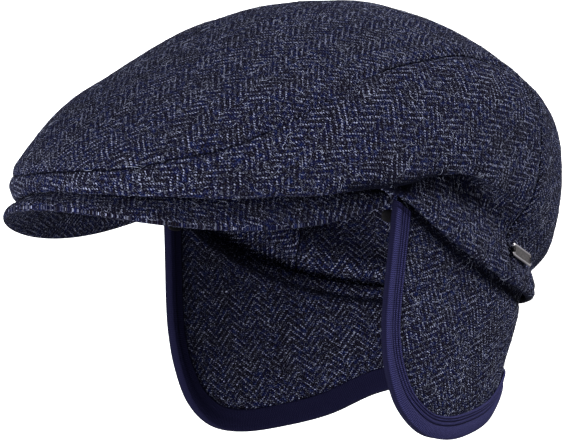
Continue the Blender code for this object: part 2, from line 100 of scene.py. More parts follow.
# Rings up to the crown's lip: edge, hem, skirt, valley. Rows: place across the peak from its head
# side (0) to its rim (1), then beside and behind the head (side, rear) radius as shares of half the
# opening, squareness of the plan, heights at STATIONS as shares of NAPE_DROP
SKIRT_RINGS = (
    (0.06, (1.060, 1.085), 2.1, (0.18, 0.18, 0.175, -0.35, -0.63, -0.86, -0.97, -1.00)),
    (0.20, (1.085, 1.130), 2.1, (0.24, 0.24, 0.24, -0.26, -0.54, -0.77, -0.88, -0.91)),
    (0.36, (1.075, 1.120), 2.1, (0.33, 0.33, 0.33, -0.04, -0.36, -0.63, -0.75, -0.78)),
    (0.52, (1.045, 1.125), 2.1, (0.38, 0.38, 0.38, 0.38, 0.10, -0.44, -0.65, -0.69)),
)
LEAVES_PEAK_FROM = radians(64)
LEAVES_PEAK_TO = radians(77)
# Rings above: lip, bulge, shoulder, brow, top. Rows: side, front and rear radius as shares of
# CROWN_WIDTH / 2, CROWN_FRONT and CROWN_REAR, squareness in front and behind, heights as shares
# of CROWN_HEIGHT
CROWN_RINGS = (
    ((0.965, 0.990, 0.960), (2.05, 2.15), (0.050, 0.020, 0.075, 0.150, 0.100, 0.010, -0.18, -0.19)),
    ((1.000, 1.000, 1.000), (2.10, 2.20), (0.125, 0.140, 0.200, 0.260, 0.260, 0.220, 0.18, 0.17)),
    ((0.950, 0.860, 0.900), (2.10, 2.20), (0.400, 0.430, 0.510, 0.560, 0.565, 0.550, 0.53, 0.52)),
    ((0.710, 0.630, 0.550), (2.05, 2.10), (0.660, 0.710, 0.780, 0.810, 0.815, 0.805, 0.79, 0.78)),
    ((0.370, 0.360, 0.230), (2.00, 2.00), (0.890, 0.920, 0.950, 0.960, 0.960, 0.955, 0.95, 0.945)),
)
APEX_RING = float(len(SKIRT_RINGS) + len(CROWN_RINGS))

# Dents in the crown. Rows: angle, ring position, spread in degrees, spread in rings, share of DENT_DEPTH
DENTS = (
    (152, 6.35, 20, 0.45, 1.00),
    (-148, 6.30, 24, 0.50, 0.80),
    (70, 5.60, 26, 0.50, 0.60),
    (-62, 5.70, 24, 0.50, 0.70),
    (28, 6.30, 16, 0.60, 0.55),
    (118, 4.90, 14, 0.40, 0.60),
    (-114, 4.90, 14, 0.40, 0.50),
)

# Seam between the top and side panels. Rows: angle in degrees on either side, ring position
TOP_SEAM = (
    (0, 5.10), (20, 5.10), (28, 5.24), (36, 5.34), (44, 5.54), (52, 5.76),
    (62, 6.08), (73, 6.30), (85, 6.42), (99, 6.49), (116, 6.42), (127, 6.25),
)
# The seam's way down the back. Rows: ring position, angle in degrees
REAR_SEAM = ((0, 126), (3, 128), (4, 129), (5, 129), (5.7, 130), (6.25, 127))
SEAM_FRONT_CORNER = 20
SEAM_CORNER_RING = 6.25
# Ring positions of the side panel's coarse rows at its rear end. Above ROWS_FOLLOW_RINGS_TO they are
# scaled so that the last one lies on the top seam
PANEL_ROWS = (0, 0.5, 1, 1.6, 2.2, 2.7, 3.2, 3.6, 4, 4.5, 5, 5.4, 5.8, 6.25)
ROWS_FOLLOW_RINGS_TO = 4.5

# Free edge of the flap. Rows: angle in degrees, share of FLAP_DROP below the hem's front end
FLAP_EDGE = (
    (82.6, 0.00), (82.1, 0.134), (81.5, 0.273), (80.9, 0.412), (80.9, 0.549), (82.7, 0.708), (87.5, 0.864),
    (96.4, 0.969), (108, 1.00), (123, 0.976), (138, 0.921), (152, 0.820), (166, 0.772), (180, 0.752),
)
FLAP_CORNER_ROW = 6

# fineness of the shown meshes
FRONT_CELLS = 60
SIDE_CELLS = 84
PANEL_ROW_CELLS = 78
FLAP_FINE_COLUMNS = 84
FLAP_FINE_ROWS = 56
PEAK_FINE_COLUMNS = 120
PEAK_FINE_ROWS = 26
BINDING_FINE_STATIONS = 420
FINE_LINE_STEP = 0.00025
# all lines of a grid, in their order and turned round
FORWARD = slice(None)
BACKWARD = slice(None, None, -1)
# where the first and last cells of a grid are cut again, as shares of a cell
EDGE_CUTS = (0.06, 0.16, 0.30, 0.50, 0.74)

# radius of the cloth's turned edges
EDGE_ROUND = 0.00108
# relief of the crown's cloth, and the painted shade under its hem. Rows: height, depth or painted shade,
# distance from the seam or hem, spread
SEAM_RIDGE = (0.00035, 0.0045, 0.0022)
SEAM_VALLEY = (0.0005, 0, 0.0022)
HEM_ROLL = (0.0009, 0.0024, 0.0016)
HEM_GROOVE = (0.0006, 0.0056, 0.0010)
HEM_SHADE = (0.8, 0, 0.0012)
# the seam's ridge grows towards the rear and the top: share added, angles, rings
RIDGE_GROWS = 1.4
RIDGE_GROWS_REARWARD = (radians(60), radians(85))
RIDGE_GROWS_UPWARD = (5.6, 6.1)
# fold under the crown's overhang beside the peak: depth, ring and spread in rings, angles of its ends
CREASE_DEPTH = 0.0017
CREASE_RINGS = (3.15, 0.50)
CREASE_FROM = (radians(56), radians(70))
CREASE_TO = (radians(104), radians(121))
# how dark the painted shade in the crease is
CREASE_SHADE = 0.93
# painted shade at the start of the fold behind the peak: angles, rings at its lower side, rings at its
# upper side
FOLD_FROM = (radians(58), radians(68))
FOLD_TO = (radians(86), radians(100))
FOLD_NARROWS = (radians(76), radians(93))
FOLD_LOW_RINGS = (-0.7, 2.8)
FOLD_HIGH_RINGS = (4.15, 4.60)
FOLD_SOFT_RINGS = 0.7
# between the forehead and the temple the painted shade line of the top seam fades: distance added to the
# seam's distance, angles of its ends, rings
SEAM_SHADE_FADES = 0.0007
SHADE_FADES_FROM = (radians(15), radians(40))
SHADE_FADES_TO = (radians(66), radians(78))
SHADE_FADES_ABOVE = (5.2, 5.9)
# soft waves in the cloth. Rows: height, size, seed. The peaks of their sum come to about WAVE_PEAK
# times the root of their count
CROWN_WAVES = ((0.00045, 0.032, 3), (0.00014, 0.012, 4))
FLAP_WAVES = (0.0005, 0.030, 7)
FLAP_WAVES_FROM_EDGE = (0.006, 0.014)
WAVE_SIZES = (0.7, 1.5)
WAVE_COUNT = 9
WAVE_PEAK = 1.6
# the flap draws back where it tucks in under the hem: depth, distance below the hem and spread
TUCK_DEPTH = 0.0012
TUCK_BELOW = (0.0006, 0.0026)
TUCK_SHADE = 0.9
# the peak's rim: how far in it is rounded and the smallest share of that. Then its shade under the
# crown, with the shares across where that fades
PEAK_RIM_ROUND = 0.0024
PEAK_RIM_BLUNT = 0.0006
PEAK_SHADE = 0.75
PEAK_SHADE_ENDS = (0.44, 0.60)

# binding tape: a roll at the rim, then a flat band with grooves
ROLL_MIDDLE = 0.00085
ROLL_HALF_WIDTH = 0.0025
ROLL_HEIGHT = 0.0016
FRONT_ROLL_SHARE = 0.7
BACK_ROLL_SHARE = 0.35
BAND_HEIGHT = 0.0010
BAND_EDGE = 0.0006
BAND_GROOVES = (0.0034, 0.0047, 0.0059)
BAND_GROOVE_DEPTH = 0.0004
BAND_GROOVE_SPREAD = 0.00028
TAPE_THINNEST = 0.0001
FACE_POINTS = 46
BACK_POINTS = 14
# places across the tape: rim, two grooves, edge. They are drawn in at the front and spread below
TAPE_MARKS = (0.0, 0.0034, 0.0047, 0.0071)
TAPE_AT_FRONT = (0.0, 0.0016, 0.0028, 0.0058)
TAPE_BELOW = (0.0, 0.0044, 0.0063, 0.0085)
TAPE_TURNS = (0.055, 0.105)
TAPE_SEAM_FROM_END = 0.0022

# toggles: the rings stop at an angle just short of the poles, and powers below 1 make the oval blunter
TAB_LENGTH = 0.009
TAB_HEIGHT = 0.0056
TAB_THICKNESS = 0.002
TAB_SHOWS = 0.0036
TAB_DROP = 0.0056
TAB_POLE = 1.5
TAB_AROUND = 48
TAB_RINGS = 27
TAB_POWERS = (0.62, 0.9, 0.8)

BADGE_BEVEL = 0.0003
BADGE_RIM = 0.0006
BADGE_CORNER_POINTS = 7
BADGE_NOTCH_POINTS = 11
# cloth searched for its highest point under the badge: reach as a share of its length, grid
UNDER_BADGE_REACH = 1.2
UNDER_BADGE_GRID = (61, 41)
# thread: how far apart the strands are, how far they start from the notch and end past the badge,
# and how high they arch as a share of its thickness, with a power below 1 for a fuller arch
THREAD_RADIUS = 0.00022
THREAD_APART = 0.0006
THREAD_STARTS = 0.0002
THREAD_ENDS = 0.0009
THREAD_ARCH = 1.1
THREAD_ARCH_POWER = 0.6
THREAD_POINTS = 9
THREAD_SIDES = 6

# stray hairs: most lie in the nap and the rest stand up
FIBRE_COUNT = 2600
FIBRE_STEPS = 8
FIBRE_STEP_LENGTHS = (0.00035, 0.0010)
FIBRE_RADIUS = 0.00006
FIBRE_THICKNESSES = (0.6, 1.2)
FIBRE_LIFT = 0.00022
FIBRE_STANDS = 0.0006
FIBRES_LYING = 0.85
FIBRE_CURL = 0.55
FIBRE_WANDER = 0.35
FIBRE_SEED = 5
# part of a sine's arch whose root the thickness of a hair or thread follows from end to end
STRAND_TAPER = (0.04, 0.96)

# laying the cloth out flat: every how many cells it is done, the rounds of Blender's unwrap, and the
# distances that count the same in the search for an anchor's cell: degrees, one ring of the crown,
# and this height on the flap
CROWN_CHART_EVERY = 6
FLAP_CHART_EVERY = 4
UNWRAP_ROUNDS = 40
ANCHOR_DEGREES = 20
ANCHOR_HEIGHT = 0.02

# herringbone weave. Anchors: angle in degrees, ring or height
YARN = 0.00085
COLUMN_YARNS = 9
SIDE_WEAVE_ANCHOR = (97, 5.3)
SIDE_WEAVE_SLANT = radians(51)
TOP_WEAVE_ANCHOR = (0, 7.5)
FLAP_WEAVE_ANCHOR = (105, -0.06)
FLAP_WEAVE_SLANT = radians(66)
# painted shade, near black, in the crevices between the yarns
CREVICE_SHADE = (0.0005, 0.0006, 0.0055)
BROWN_YARN = (0.0058, 0.0046, 0.0075)
NAVY_YARN = (0.0046, 0.0058, 0.0340)
BLUE_YARN = (0.0095, 0.0170, 0.0680)
PALE = (0.235, 0.252, 0.376)
HAIR = (0.25, 0.27, 0.37)
FIBRE_DARK = (0.12, 0.13, 0.20)
FIBRE_LIGHT = (0.34, 0.37, 0.50)
# painted shade along the seams: distances from the seam where it is full and where it ends, then the scale
# and the reach of the noise that makes its edge ragged, like the shade of small puckers
SEAM_LINE = (0.0002, 0.0009)
SEAM_PUCKER_SHADE = 450.0
SEAM_RAGGED = 0.0017
# colour of the painted shade on the cloth: along the seams, in folds and creases, and under the hem, the
# crown's edge and the flap's tuck
SHADE_TONE = (0.0005, 0.0005, 0.0020)
FUZZ_BREAKS = 1.5
SPECKS = 0.55
TWEED_SHEEN = 0.012
BEAD_SHORTNESS = 1.3
# patches with more or less pale yarn. Rows: scale, shift, least, most
PALE_PATCHES = ((330.0, 0.3, 0.3, 1.5), (60.0, 0.9, 0.70, 1.25))
# how the yarns wander. Rows: scale of the noise, reach
YARN_WANDERS = ((230.0, 0.0013), (1100.0, 0.0005))
TWEED_BUMP = 0.0005
# curly hairs: scale of their wandering, shift, width, share left out
HAIR_LAYERS = ((420.0, 0.11, 0.018, 0.56), (620.0, 0.37, 0.022, 0.58))

# other finishes
# knit tape: its dark colour, and the lighter colour of a painted highlight on the loops' crowns
TAPE_DARK = (0.0045, 0.0044, 0.025)
TAPE_LIGHT = (0.042, 0.041, 0.118)
# colour of the painted shade in the tape's grooves, beyond its end seam and at its fold, and of the dark
# line at the end seam
TAPE_SHADE_AND_SEAM_TONE = (0.0025, 0.0023, 0.010)
TAPE_BUMP = 0.0003
KNIT_WIDTH = 0.00045
KNIT_PITCH = 0.00090
# reaches of the dark line at the end seam and of the painted shade in the grooves, then of the painted
# shade at the fold before and after the turn
END_SEAM_REACH = 0.0005
GROOVE_SHADE_REACH = 0.00042
FOLD_SHADE_FROM = 0.0004
FOLD_SHADE_TO = 0.0006
METAL_DARK = (0.040, 0.036, 0.038)
METAL_LIGHT = (0.135, 0.124, 0.130)
# painted highlight round the badge's rim: its colour, then the distances in from the edge where it starts
# and where it is full
METAL_RIM_HIGHLIGHT = (0.46, 0.44, 0.47)
RIM_HIGHLIGHT_FROM_EDGE = (0.0010, 0.0006)
METAL_BUMP = 0.00006
BLACK_DEEP = (0.0007, 0.0006, 0.0012)
BLACK_WORN = (0.0040, 0.0035, 0.0065)
BLACK_BUMP = 0.0002

# camera, fitted to the photo: the origin's place in its 564 by 442 pixels
PICTURE_WIDTH = 564
PICTURE_HEIGHT = 442
ORIGIN_AT = (298, 212)
PIXELS_PER_METRE = 2250
CAMERA_DISTANCE = 1.5
CAMERA_AZIMUTH = radians(52)
CAMERA_ELEVATION = radians(-2)
SENSOR_WIDTH = 36

# lights. Rows: name, azimuth, elevation, distance, size, power
LIGHTS = (
    ("key", 150, 36, 4.5, 2.2, 330),
    ("top", 20, 75, 4.5, 2.5, 20),
    ("front", 18, 16, 4.5, 2.5, 120),
    ("fill", 14, -28, 4.5, 3.0, 330),
)
SKY_ABOVE = 0.36
SKY_BELOW = 0.50
# heights of the sky's direction between which its light changes
SKY_FROM = -0.5
SKY_TO = 0.7
BACKDROP_GLOW = 1.0
BOWL_SIDES = 64
# backdrop. Rows: radius, height
BOWL = ((0.05, -3.8), (3.0, -3.6), (4.6, -2.8), (5.6, -1.4), (6.2, 0.4), (6.3, 2.8), (5.8, 5.0))


# Curves and sections

def curve_through(places, values, at):
    """Smooth curve through the rows of a table, level at both ends."""
    places = np.asarray(places, float)
    values = np.asarray(values, float)
    at = np.clip(at, places[0], places[-1])
    row = np.clip(np.searchsorted(places, at, side="right") - 1, 0, len(places) - 2)
    slopes = np.zeros(len(places))
    slopes[1:-1] = (values[2:] - values[:-2]) / (places[2:] - places[:-2])
    step = places[row + 1] - places[row]
    share = (at - places[row]) / step
    return hermite(values[row], values[row + 1], slopes[row] * step, slopes[row + 1] * step, share)


def hermite(start, end, start_slope, end_slope, share):
    rise = share * share * (3 - 2 * share)
    return (start * (1 - rise) + end * rise
            + start_slope * share * (1 - share) ** 2 - end_slope * share * share * (1 - share))


def smooth_step(low, high, at):
    share = np.clip((at - low) / (high - low), 0, 1)
    return share * share * (3 - 2 * share)


def within(at, rises, falls):
    """1 between two soft ends, 0 outside them."""
    return smooth_step(*rises, at) * (1 - smooth_step(*falls, at))


def bell(at, middle, spread):
    return np.exp(-((at - middle) / spread) ** 2)


def welt(away, height, place, spread):
    """Relief beside a line: its height at a place away from the line, falling off on both sides."""
    return height * bell(away, place, spread)


def from_front(angle):
    """Angle away from the forehead, from 0 to half a turn on either side."""
    return np.abs((np.asarray(angle, float) + pi) % (2 * pi) - pi)


def oval(angle, side, front, rear, squareness=(2.0, 2.0)):
    """Radius of a plan oval that reaches front, side and rear."""
    ahead = np.cos(angle)
    power = np.where(ahead > 0, squareness[0], squareness[1])
    reach = np.where(ahead > 0, front, rear)
    return ((np.abs(np.sin(angle)) / side) ** power + (np.abs(ahead) / reach) ** power) ** (-1 / power)


def at_radius(angle, radius, height):
    angle, radius, height = np.broadcast_arrays(angle, radius, height)
    return np.stack([radius * np.sin(angle), -radius * np.cos(angle), height], -1)


def unit(vectors):
    return vectors / np.linalg.norm(vectors, axis=-1, keepdims=True)


def running_total(steps):
    return np.concatenate([[0], np.cumsum(steps)])


def run_along(points):
    """Length of a line up to each of its points."""
    return running_total(np.linalg.norm(np.diff(points, axis=0), axis=1))


def direction(azimuth, elevation):
    """Way from the origin towards an azimuth, 0 in front of the peak, and an elevation."""
    return np.array((
        sin(azimuth) * cos(elevation),
        -cos(azimuth) * cos(elevation),
        sin(elevation),
    ))


TO_CAMERA = direction(CAMERA_AZIMUTH, CAMERA_ELEVATION)
SIGHT = -TO_CAMERA


# Peak

def head_radius(angle):
    return oval(angle, HEAD_WIDTH / 2, HEAD_LENGTH / 2, HEAD_LENGTH / 2)


def peak_radius(angle):
    """Radius of the peak's outer edge, an ellipse whose middle lies ahead of the head's."""
    long = PEAK_REACH - PEAK_MIDDLE
    wide = PEAK_WIDTH / 2
    across, ahead = np.sin(angle), np.cos(angle)
    a = (across / wide) ** 2 + (ahead / long) ** 2
    b = -2 * ahead * PEAK_MIDDLE / long ** 2
    c = (PEAK_MIDDLE / long) ** 2 - 1
    return (-b + np.sqrt(b * b - 4 * a * c)) / (2 * a)


def peak_top(angle, radius):
    """Height of the peak's upper face."""
    inner = head_radius(angle)
    outer = peak_radius(angle)
    out = np.clip((radius - inner) / np.maximum(outer - inner, GAP), 0, 1)
    aside = outer * np.sin(angle) / (PEAK_WIDTH / 2)
    y = -outer * np.cos(angle)
    edge_height = PEAK_FRONT_LIFT + PEAK_SLOPE * (y + PEAK_REACH) - PEAK_CAMBER * aside ** 2
    head_height = FOREHEAD_RISE * (TEMPLE_SHARE + (1 - TEMPLE_SHARE) * np.cos(angle))
    return edge_height + (head_height - edge_height) * (1 - out ** PEAK_FALL)


def peak_end_angle():
    return np.arctan2(PEAK_WIDTH / 2, PEAK_END)


# Crown

def ring_points(ring, angle):
    """Points of one ring of the crown."""
    if ring < len(SKIRT_RINGS):
        across, (side, rear), squareness, heights = SKIRT_RINGS[ring]
        half_length = HEAD_LENGTH / 2
        radius = oval(angle, side * HEAD_WIDTH / 2, side * half_length, rear * half_length, (2, squareness))
        height = NAPE_DROP * curve_through(STATIONS, heights, from_front(angle))
        on_peak = head_radius(angle) + across * (peak_radius(angle) - head_radius(angle))
        beside = smooth_step(LEAVES_PEAK_FROM, LEAVES_PEAK_TO, from_front(angle))
        radius = on_peak * (1 - beside) + radius * beside
        resting = np.maximum(peak_top(angle, radius), peak_top(angle, radius - WALL)) + SEAT_GAP
        height = np.maximum(height * beside + resting * (1 - beside), np.where(beside < 1, resting, height))
        return at_radius(angle, radius, height)
    (side, front, rear), squareness, heights = CROWN_RINGS[ring - len(SKIRT_RINGS)]
    radius = oval(angle, side * CROWN_WIDTH / 2, front * CROWN_FRONT, rear * CROWN_REAR, squareness)
    height = CROWN_HEIGHT * curve_through(STATIONS, heights, from_front(angle))
    points = at_radius(angle, radius, height)
    points[..., 1] += APEX_SET_BACK * smooth_step(SET_BACK_FROM * CROWN_HEIGHT, CROWN_HEIGHT, height)
    return points


def above_peak(points, angle):
    """Lift the points that would sink into the peak on to its upper face."""
    radius = np.hypot(points[..., 0], points[..., 1])
    over = (from_front(angle) < peak_end_angle()) & (radius < peak_radius(angle))
    floor = peak_top(angle, radius) + SEAT_GAP
    points[..., 2] = np.where(over, np.maximum(points[..., 2], floor), points[..., 2])
    return points


def smooth_crown(angle, ring):
    """Point of the crown's outside before dents: a smooth curve up through the rings."""
    angle, ring = np.broadcast_arrays(np.asarray(angle, float), np.asarray(ring, float))
    last = int(APEX_RING) - 1
    knots = [ring_points(i, angle) for i in range(last + 1)]
    apex = np.broadcast_to(np.array((0.0, APEX_SET_BACK, CROWN_HEIGHT)), knots[0].shape)
    knots = np.stack(knots + [apex, ring_points(last, angle + pi)], -2)
    steps = np.diff(knots, axis=-2)
    shortest = 1e-4
    lengths = np.sqrt(np.maximum(np.linalg.norm(steps, axis=-1, keepdims=True), shortest))
    slopes = np.zeros_like(knots)
    before, after = lengths[..., :-1, :], lengths[..., 1:, :]
    pace = steps / lengths
    slopes[..., 1:-1, :] = (after * pace[..., :-1, :] + before * pace[..., 1:, :]) / (before + after)
    slopes[..., 0, :] = pace[..., 0, :]
    index = np.clip(np.floor(ring).astype(int), 0, last)
    share = (ring - index)[..., None]

    def pick(values, k):
        return np.take_along_axis(values, k[..., None, None], -2)[..., 0, :]

    length = pick(lengths, index)
    points = hermite(pick(knots, index), pick(knots, index + 1),
                     pick(slopes, index) * length, pick(slopes, index + 1) * length, share)
    return above_peak(points, angle)


def crown_normal(angle, ring, surface):
    """Outward direction of a surface given by angle and ring position."""
    small = 1e-3
    ring = np.minimum(ring, APEX_RING - 5 * small)
    low = np.maximum(ring - small, 0)
    round_head = surface(angle + small, ring) - surface(angle - small, ring)
    upward = surface(angle, ring + small) - surface(angle, low)
    return unit(np.cross(round_head, upward))


def crown_outside(angle, ring):
    """Point of the crown's outside, dents included."""
    points = smooth_crown(angle, ring)
    inward = np.zeros(points.shape[:-1])
    for dent_angle, dent_ring, wide, tall, share in DENTS:
        away = np.degrees((angle - radians(dent_angle) + pi) % (2 * pi) - pi) / wide
        inward = inward + share * DENT_DEPTH * np.exp(-away ** 2 - ((ring - dent_ring) / tall) ** 2)
    return points - inward[..., None] * crown_normal(angle, ring, smooth_crown)


def top_seam(degrees):
    angles, rings = zip(*TOP_SEAM)
    return curve_through(angles, rings, np.abs(degrees))


def rear_seam(ring):
    rings, angles = zip(*REAR_SEAM)
    return curve_through(rings, angles, ring)


def cut_ends(places, first=True, last=True):
    """Cut the first and last cells of a row of places again, finer towards the ends."""
    cuts = np.array(EDGE_CUTS)
    start = places[0] + cuts * (places[1] - places[0])
    end = places[-1] - cuts[::-1] * (places[-1] - places[-2])
    parts = [places[:1], start if first else [], places[1:-1], end if last else [], places[-1:]]
    return np.concatenate(parts)


def seam_stations():
    """Angles of the grid lines that meet the top seam, from one rear corner to the other."""
    corner = rear_seam(SEAM_CORNER_RING)
    front = np.linspace(0, SEAM_FRONT_CORNER, FRONT_CELLS // 2 + 1)
    side = np.linspace(SEAM_FRONT_CORNER, corner, SIDE_CELLS + 1)[1:]
    half = np.concatenate([front, side])
    return np.concatenate([-half[:0:-1], half])


def panel_rows():
    """Ring positions of the side panel's rows, evenly between the coarse rows."""
    coarse = range(len(PANEL_ROWS))
    return np.interp(np.linspace(0, len(PANEL_ROWS) - 1, PANEL_ROW_CELLS + 1), coarse, PANEL_ROWS)


def side_panel_grid():
    """Angles and ring positions of the side panel, rows upward from the hem."""
    columns = cut_ends(seam_stations())[None, :]
    rows = cut_ends(panel_rows())[:, None]
    angle = columns * rear_seam(rows) / rear_seam(SEAM_CORNER_RING)
    follow = ROWS_FOLLOW_RINGS_TO
    share = (rows - follow) / (SEAM_CORNER_RING - follow)
    ring = np.where(rows <= follow, rows, follow + share * (top_seam(columns) - follow))
    return np.radians(angle), ring + 0 * angle


def patch(front, rear, left, right, u, v):
    """Grid that fills four edge curves which meet at their ends."""
    u = u[None, :, None]
    v = v[:, None, None]
    across = (1 - v) * front[None] + v * rear[None]
    along = (1 - u) * left[:, None] + u * right[:, None]
    corners = ((1 - u) * (1 - v) * front[0] + u * (1 - v) * front[-1]
               + (1 - u) * v * rear[0] + u * v * rear[-1])
    return across + along - corners


def to_disc(degrees, ring):
    """Flat chart of the crown with the apex in its middle."""
    angle = np.radians(degrees)
    radius = 1 - ring / APEX_RING
    return np.stack([radius * np.sin(angle), -radius * np.cos(angle)], -1)


def top_panel_grid():
    """Angles and ring positions of the top panel, rows from the front seam over the top to the nape."""
    corner = SEAM_CORNER_RING
    corner_angle = rear_seam(corner)
    u = cut_ends(np.linspace(0, 1, FRONT_CELLS + 1))
    v = cut_ends(np.linspace(0, 1, SIDE_CELLS + 1), last=False)
    front = SEAM_FRONT_CORNER * (2 * u - 1)
    left = -SEAM_FRONT_CORNER - v * (corner_angle - SEAM_FRONT_CORNER)
    back = -corner_angle - u * (360 - 2 * corner_angle)
    disc = patch(to_disc(front, top_seam(front)), to_disc(back, np.full(len(back), corner)),
                 to_disc(left, top_seam(left)), to_disc(-left, top_seam(left)), u, v)
    cap_angle = np.arctan2(disc[..., 0], -disc[..., 1])
    cap_ring = APEX_RING * (1 - np.linalg.norm(disc, axis=-1))
    rows = cut_ends(panel_rows(), last=False)[-2::-1, None]
    back_angle = np.radians(-rear_seam(rows) - u[None, :] * (360 - 2 * rear_seam(rows)))
    back_ring = rows + 0 * back_angle
    return np.concatenate([cap_angle, back_angle]), np.concatenate([cap_ring, back_ring])


# Ear flap

def flap_point(angle, height):
    """Point of the flap's outside: it hangs just inside the hem and leans in towards the neck."""
    hem = ring_points(0, angle)
    radius = np.hypot(hem[..., 0], hem[..., 1]) - WALL - GAP
    below = np.maximum(hem[..., 2] - height, 0)
    towards_nape = smooth_step(LEANS_MORE_FROM, LEANS_MORE_TO, from_front(angle))
    lean = FLAP_LEAN_SIDE + (FLAP_LEAN_NAPE - FLAP_LEAN_SIDE) * towards_nape
    return at_radius(angle, radius - lean * below, height)


def flap_normal(angle, height):
    small = 1e-4
    round_head = flap_point(angle + small, height) - flap_point(angle - small, height)
    upward = flap_point(angle, height + small) - flap_point(angle, height - small)
    return unit(np.cross(round_head, upward))


def flap_edge(start, end, count):
    """Chart points (degrees, height) of the free edge between two rows of its table."""
    rows = np.array(FLAP_EDGE)
    reach = HEAD_LENGTH / 2
    hem_end = ring_points(0, np.radians(rows[0, 0]))[..., 2] - BINDING_WALL
    round_head = np.diff(np.radians(rows[:, 0])) * reach
    places = running_total(np.hypot(round_head, np.diff(rows[:, 1]) * FLAP_DROP))
    at = np.linspace(places[start], places[end], count)
    degrees = curve_through(places, rows[:, 0], at)
    height = hem_end - FLAP_DROP * curve_through(places, rows[:, 1], at)
    return np.stack([degrees, height], -1)


def flap_top(degrees):
    return ring_points(0, np.radians(degrees))[..., 2] + FLAP_TUCK


def both_sides(half):
    """Flap chart of the left half, from the front to the nape, with the right half added after it."""
    other = half[..., ::-1, :] * (-1, 1) + (360, 0)
    return np.concatenate([half, other[..., 1:, :]], -2)


def flap_grid():
    """Chart of the whole flap: rows downward, columns from the left front edge round the nape."""
    last = len(FLAP_EDGE) - 1
    front = flap_edge(0, FLAP_CORNER_ROW, FLAP_FINE_ROWS + 1)
    bottom = flap_edge(FLAP_CORNER_ROW, last, FLAP_FINE_COLUMNS + 1)
    front[0, 1] = flap_top(front[0, 0])
    top_degrees = np.linspace(front[0, 0], 180, FLAP_FINE_COLUMNS + 1)
    top = np.stack([top_degrees, flap_top(top_degrees)], -1)
    nape_heights = np.linspace(top[-1, 1], bottom[-1, 1], FLAP_FINE_ROWS + 1)
    nape = np.stack([np.full(FLAP_FINE_ROWS + 1, 180.0), nape_heights], -1)
    u = np.linspace(0, 1, FLAP_FINE_COLUMNS + 1)
    v = np.linspace(0, 1, FLAP_FINE_ROWS + 1)
    return both_sides(patch(top, bottom, front, nape, u, v))


def flap_rim():
    """The flap's free edge from one front end to the other: angle, height and the way into the cloth."""
    chart = both_sides(flap_edge(0, len(FLAP_EDGE) - 1, BINDING_FINE_STATIONS // 2 + 1))
    angle, height = np.radians(chart[:, 0]), chart[:, 1]
    forward = unit(np.gradient(flap_point(angle, height), axis=0))
    return angle, height, unit(np.cross(flap_normal(angle, height), forward))


def near_rim(rim, along, out):
    """Points that lie a way into the cloth from the flap's rim and a way out of its face."""
    angle, height, into_cloth = rim
    radius = np.linalg.norm(flap_point(angle, height)[:, :2], axis=-1)
    round_head = into_cloth[:, 0] * np.cos(angle) + into_cloth[:, 1] * np.sin(angle)
    turned = angle + along * round_head / radius
    near_end = 1 - smooth_step(0, BINDING_END_SLOPES_OVER, height.max() - height)
    slope = ring_points(0, turned)[:, 2] - ring_points(0, angle)[:, 2]
    level = height + along * into_cloth[:, 2] + near_end * slope
    return flap_point(turned, level) + np.reshape(out, (-1, 1)) * flap_normal(turned, level)


# Cloth meshes

def border(grid):
    """Points along the four edges of a grid, close enough together to measure from."""
    loop = np.concatenate([grid[0], grid[1:, -1], grid[-1, -2::-1], grid[-2::-1, 0]])
    return fine_line(loop)


def fine_line(points):
    """The same line with its points close enough together to measure from."""
    places = run_along(points)
    at = np.linspace(0, places[-1], int(places[-1] / FINE_LINE_STEP) + 2)
    return np.stack([np.interp(at, places, points[:, k]) for k in range(3)], -1)


def distance_to(line, points):
    """Distance from each point to the nearest point of a line."""
    tree = KDTree(len(line))
    for i, p in enumerate(line):
        tree.insert(p, i)
    tree.balance()
    flat = points.reshape(-1, 3)
    found = np.array([tree.find(p)[2] for p in flat])
    return found.reshape(points.shape[:-1])


def edge_fall(distance):
    """How far a cloth's face falls back towards its middle near a cut or turned edge."""
    short = np.clip(EDGE_ROUND - distance, 0, None)
    return EDGE_ROUND - np.sqrt(np.clip(EDGE_ROUND ** 2 - short ** 2, 0, None))


def soft_waves(points, height, size, seed):
    """Smooth noise from a few crossed waves, about as high as the height."""
    rng = np.random.default_rng(seed)
    total = np.zeros(points.shape[:-1])
    for _ in range(WAVE_COUNT):
        way = rng.normal(size=3)
        way *= 2 * pi / (size * np.linalg.norm(way) * rng.uniform(*WAVE_SIZES))
        total += np.sin(points @ way + rng.uniform(0, 2 * pi))
    return height * (total / WAVE_COUNT ** 0.5 / WAVE_PEAK)


def picture_way(slant):
    """Direction that the camera sees at a slant above the level, leaning right."""
    right = unit(np.cross(SIGHT, (0, 0, 1)))
    return cos(slant) * right + sin(slant) * np.cross(right, SIGHT)


def grid_faces(rows, columns):
    """Quads between the points of a grid."""
    corner = (np.arange(rows - 1)[:, None] * columns + np.arange(columns - 1)).ravel()
    return np.stack([corner, corner + 1, corner + columns + 1, corner + columns], -1)


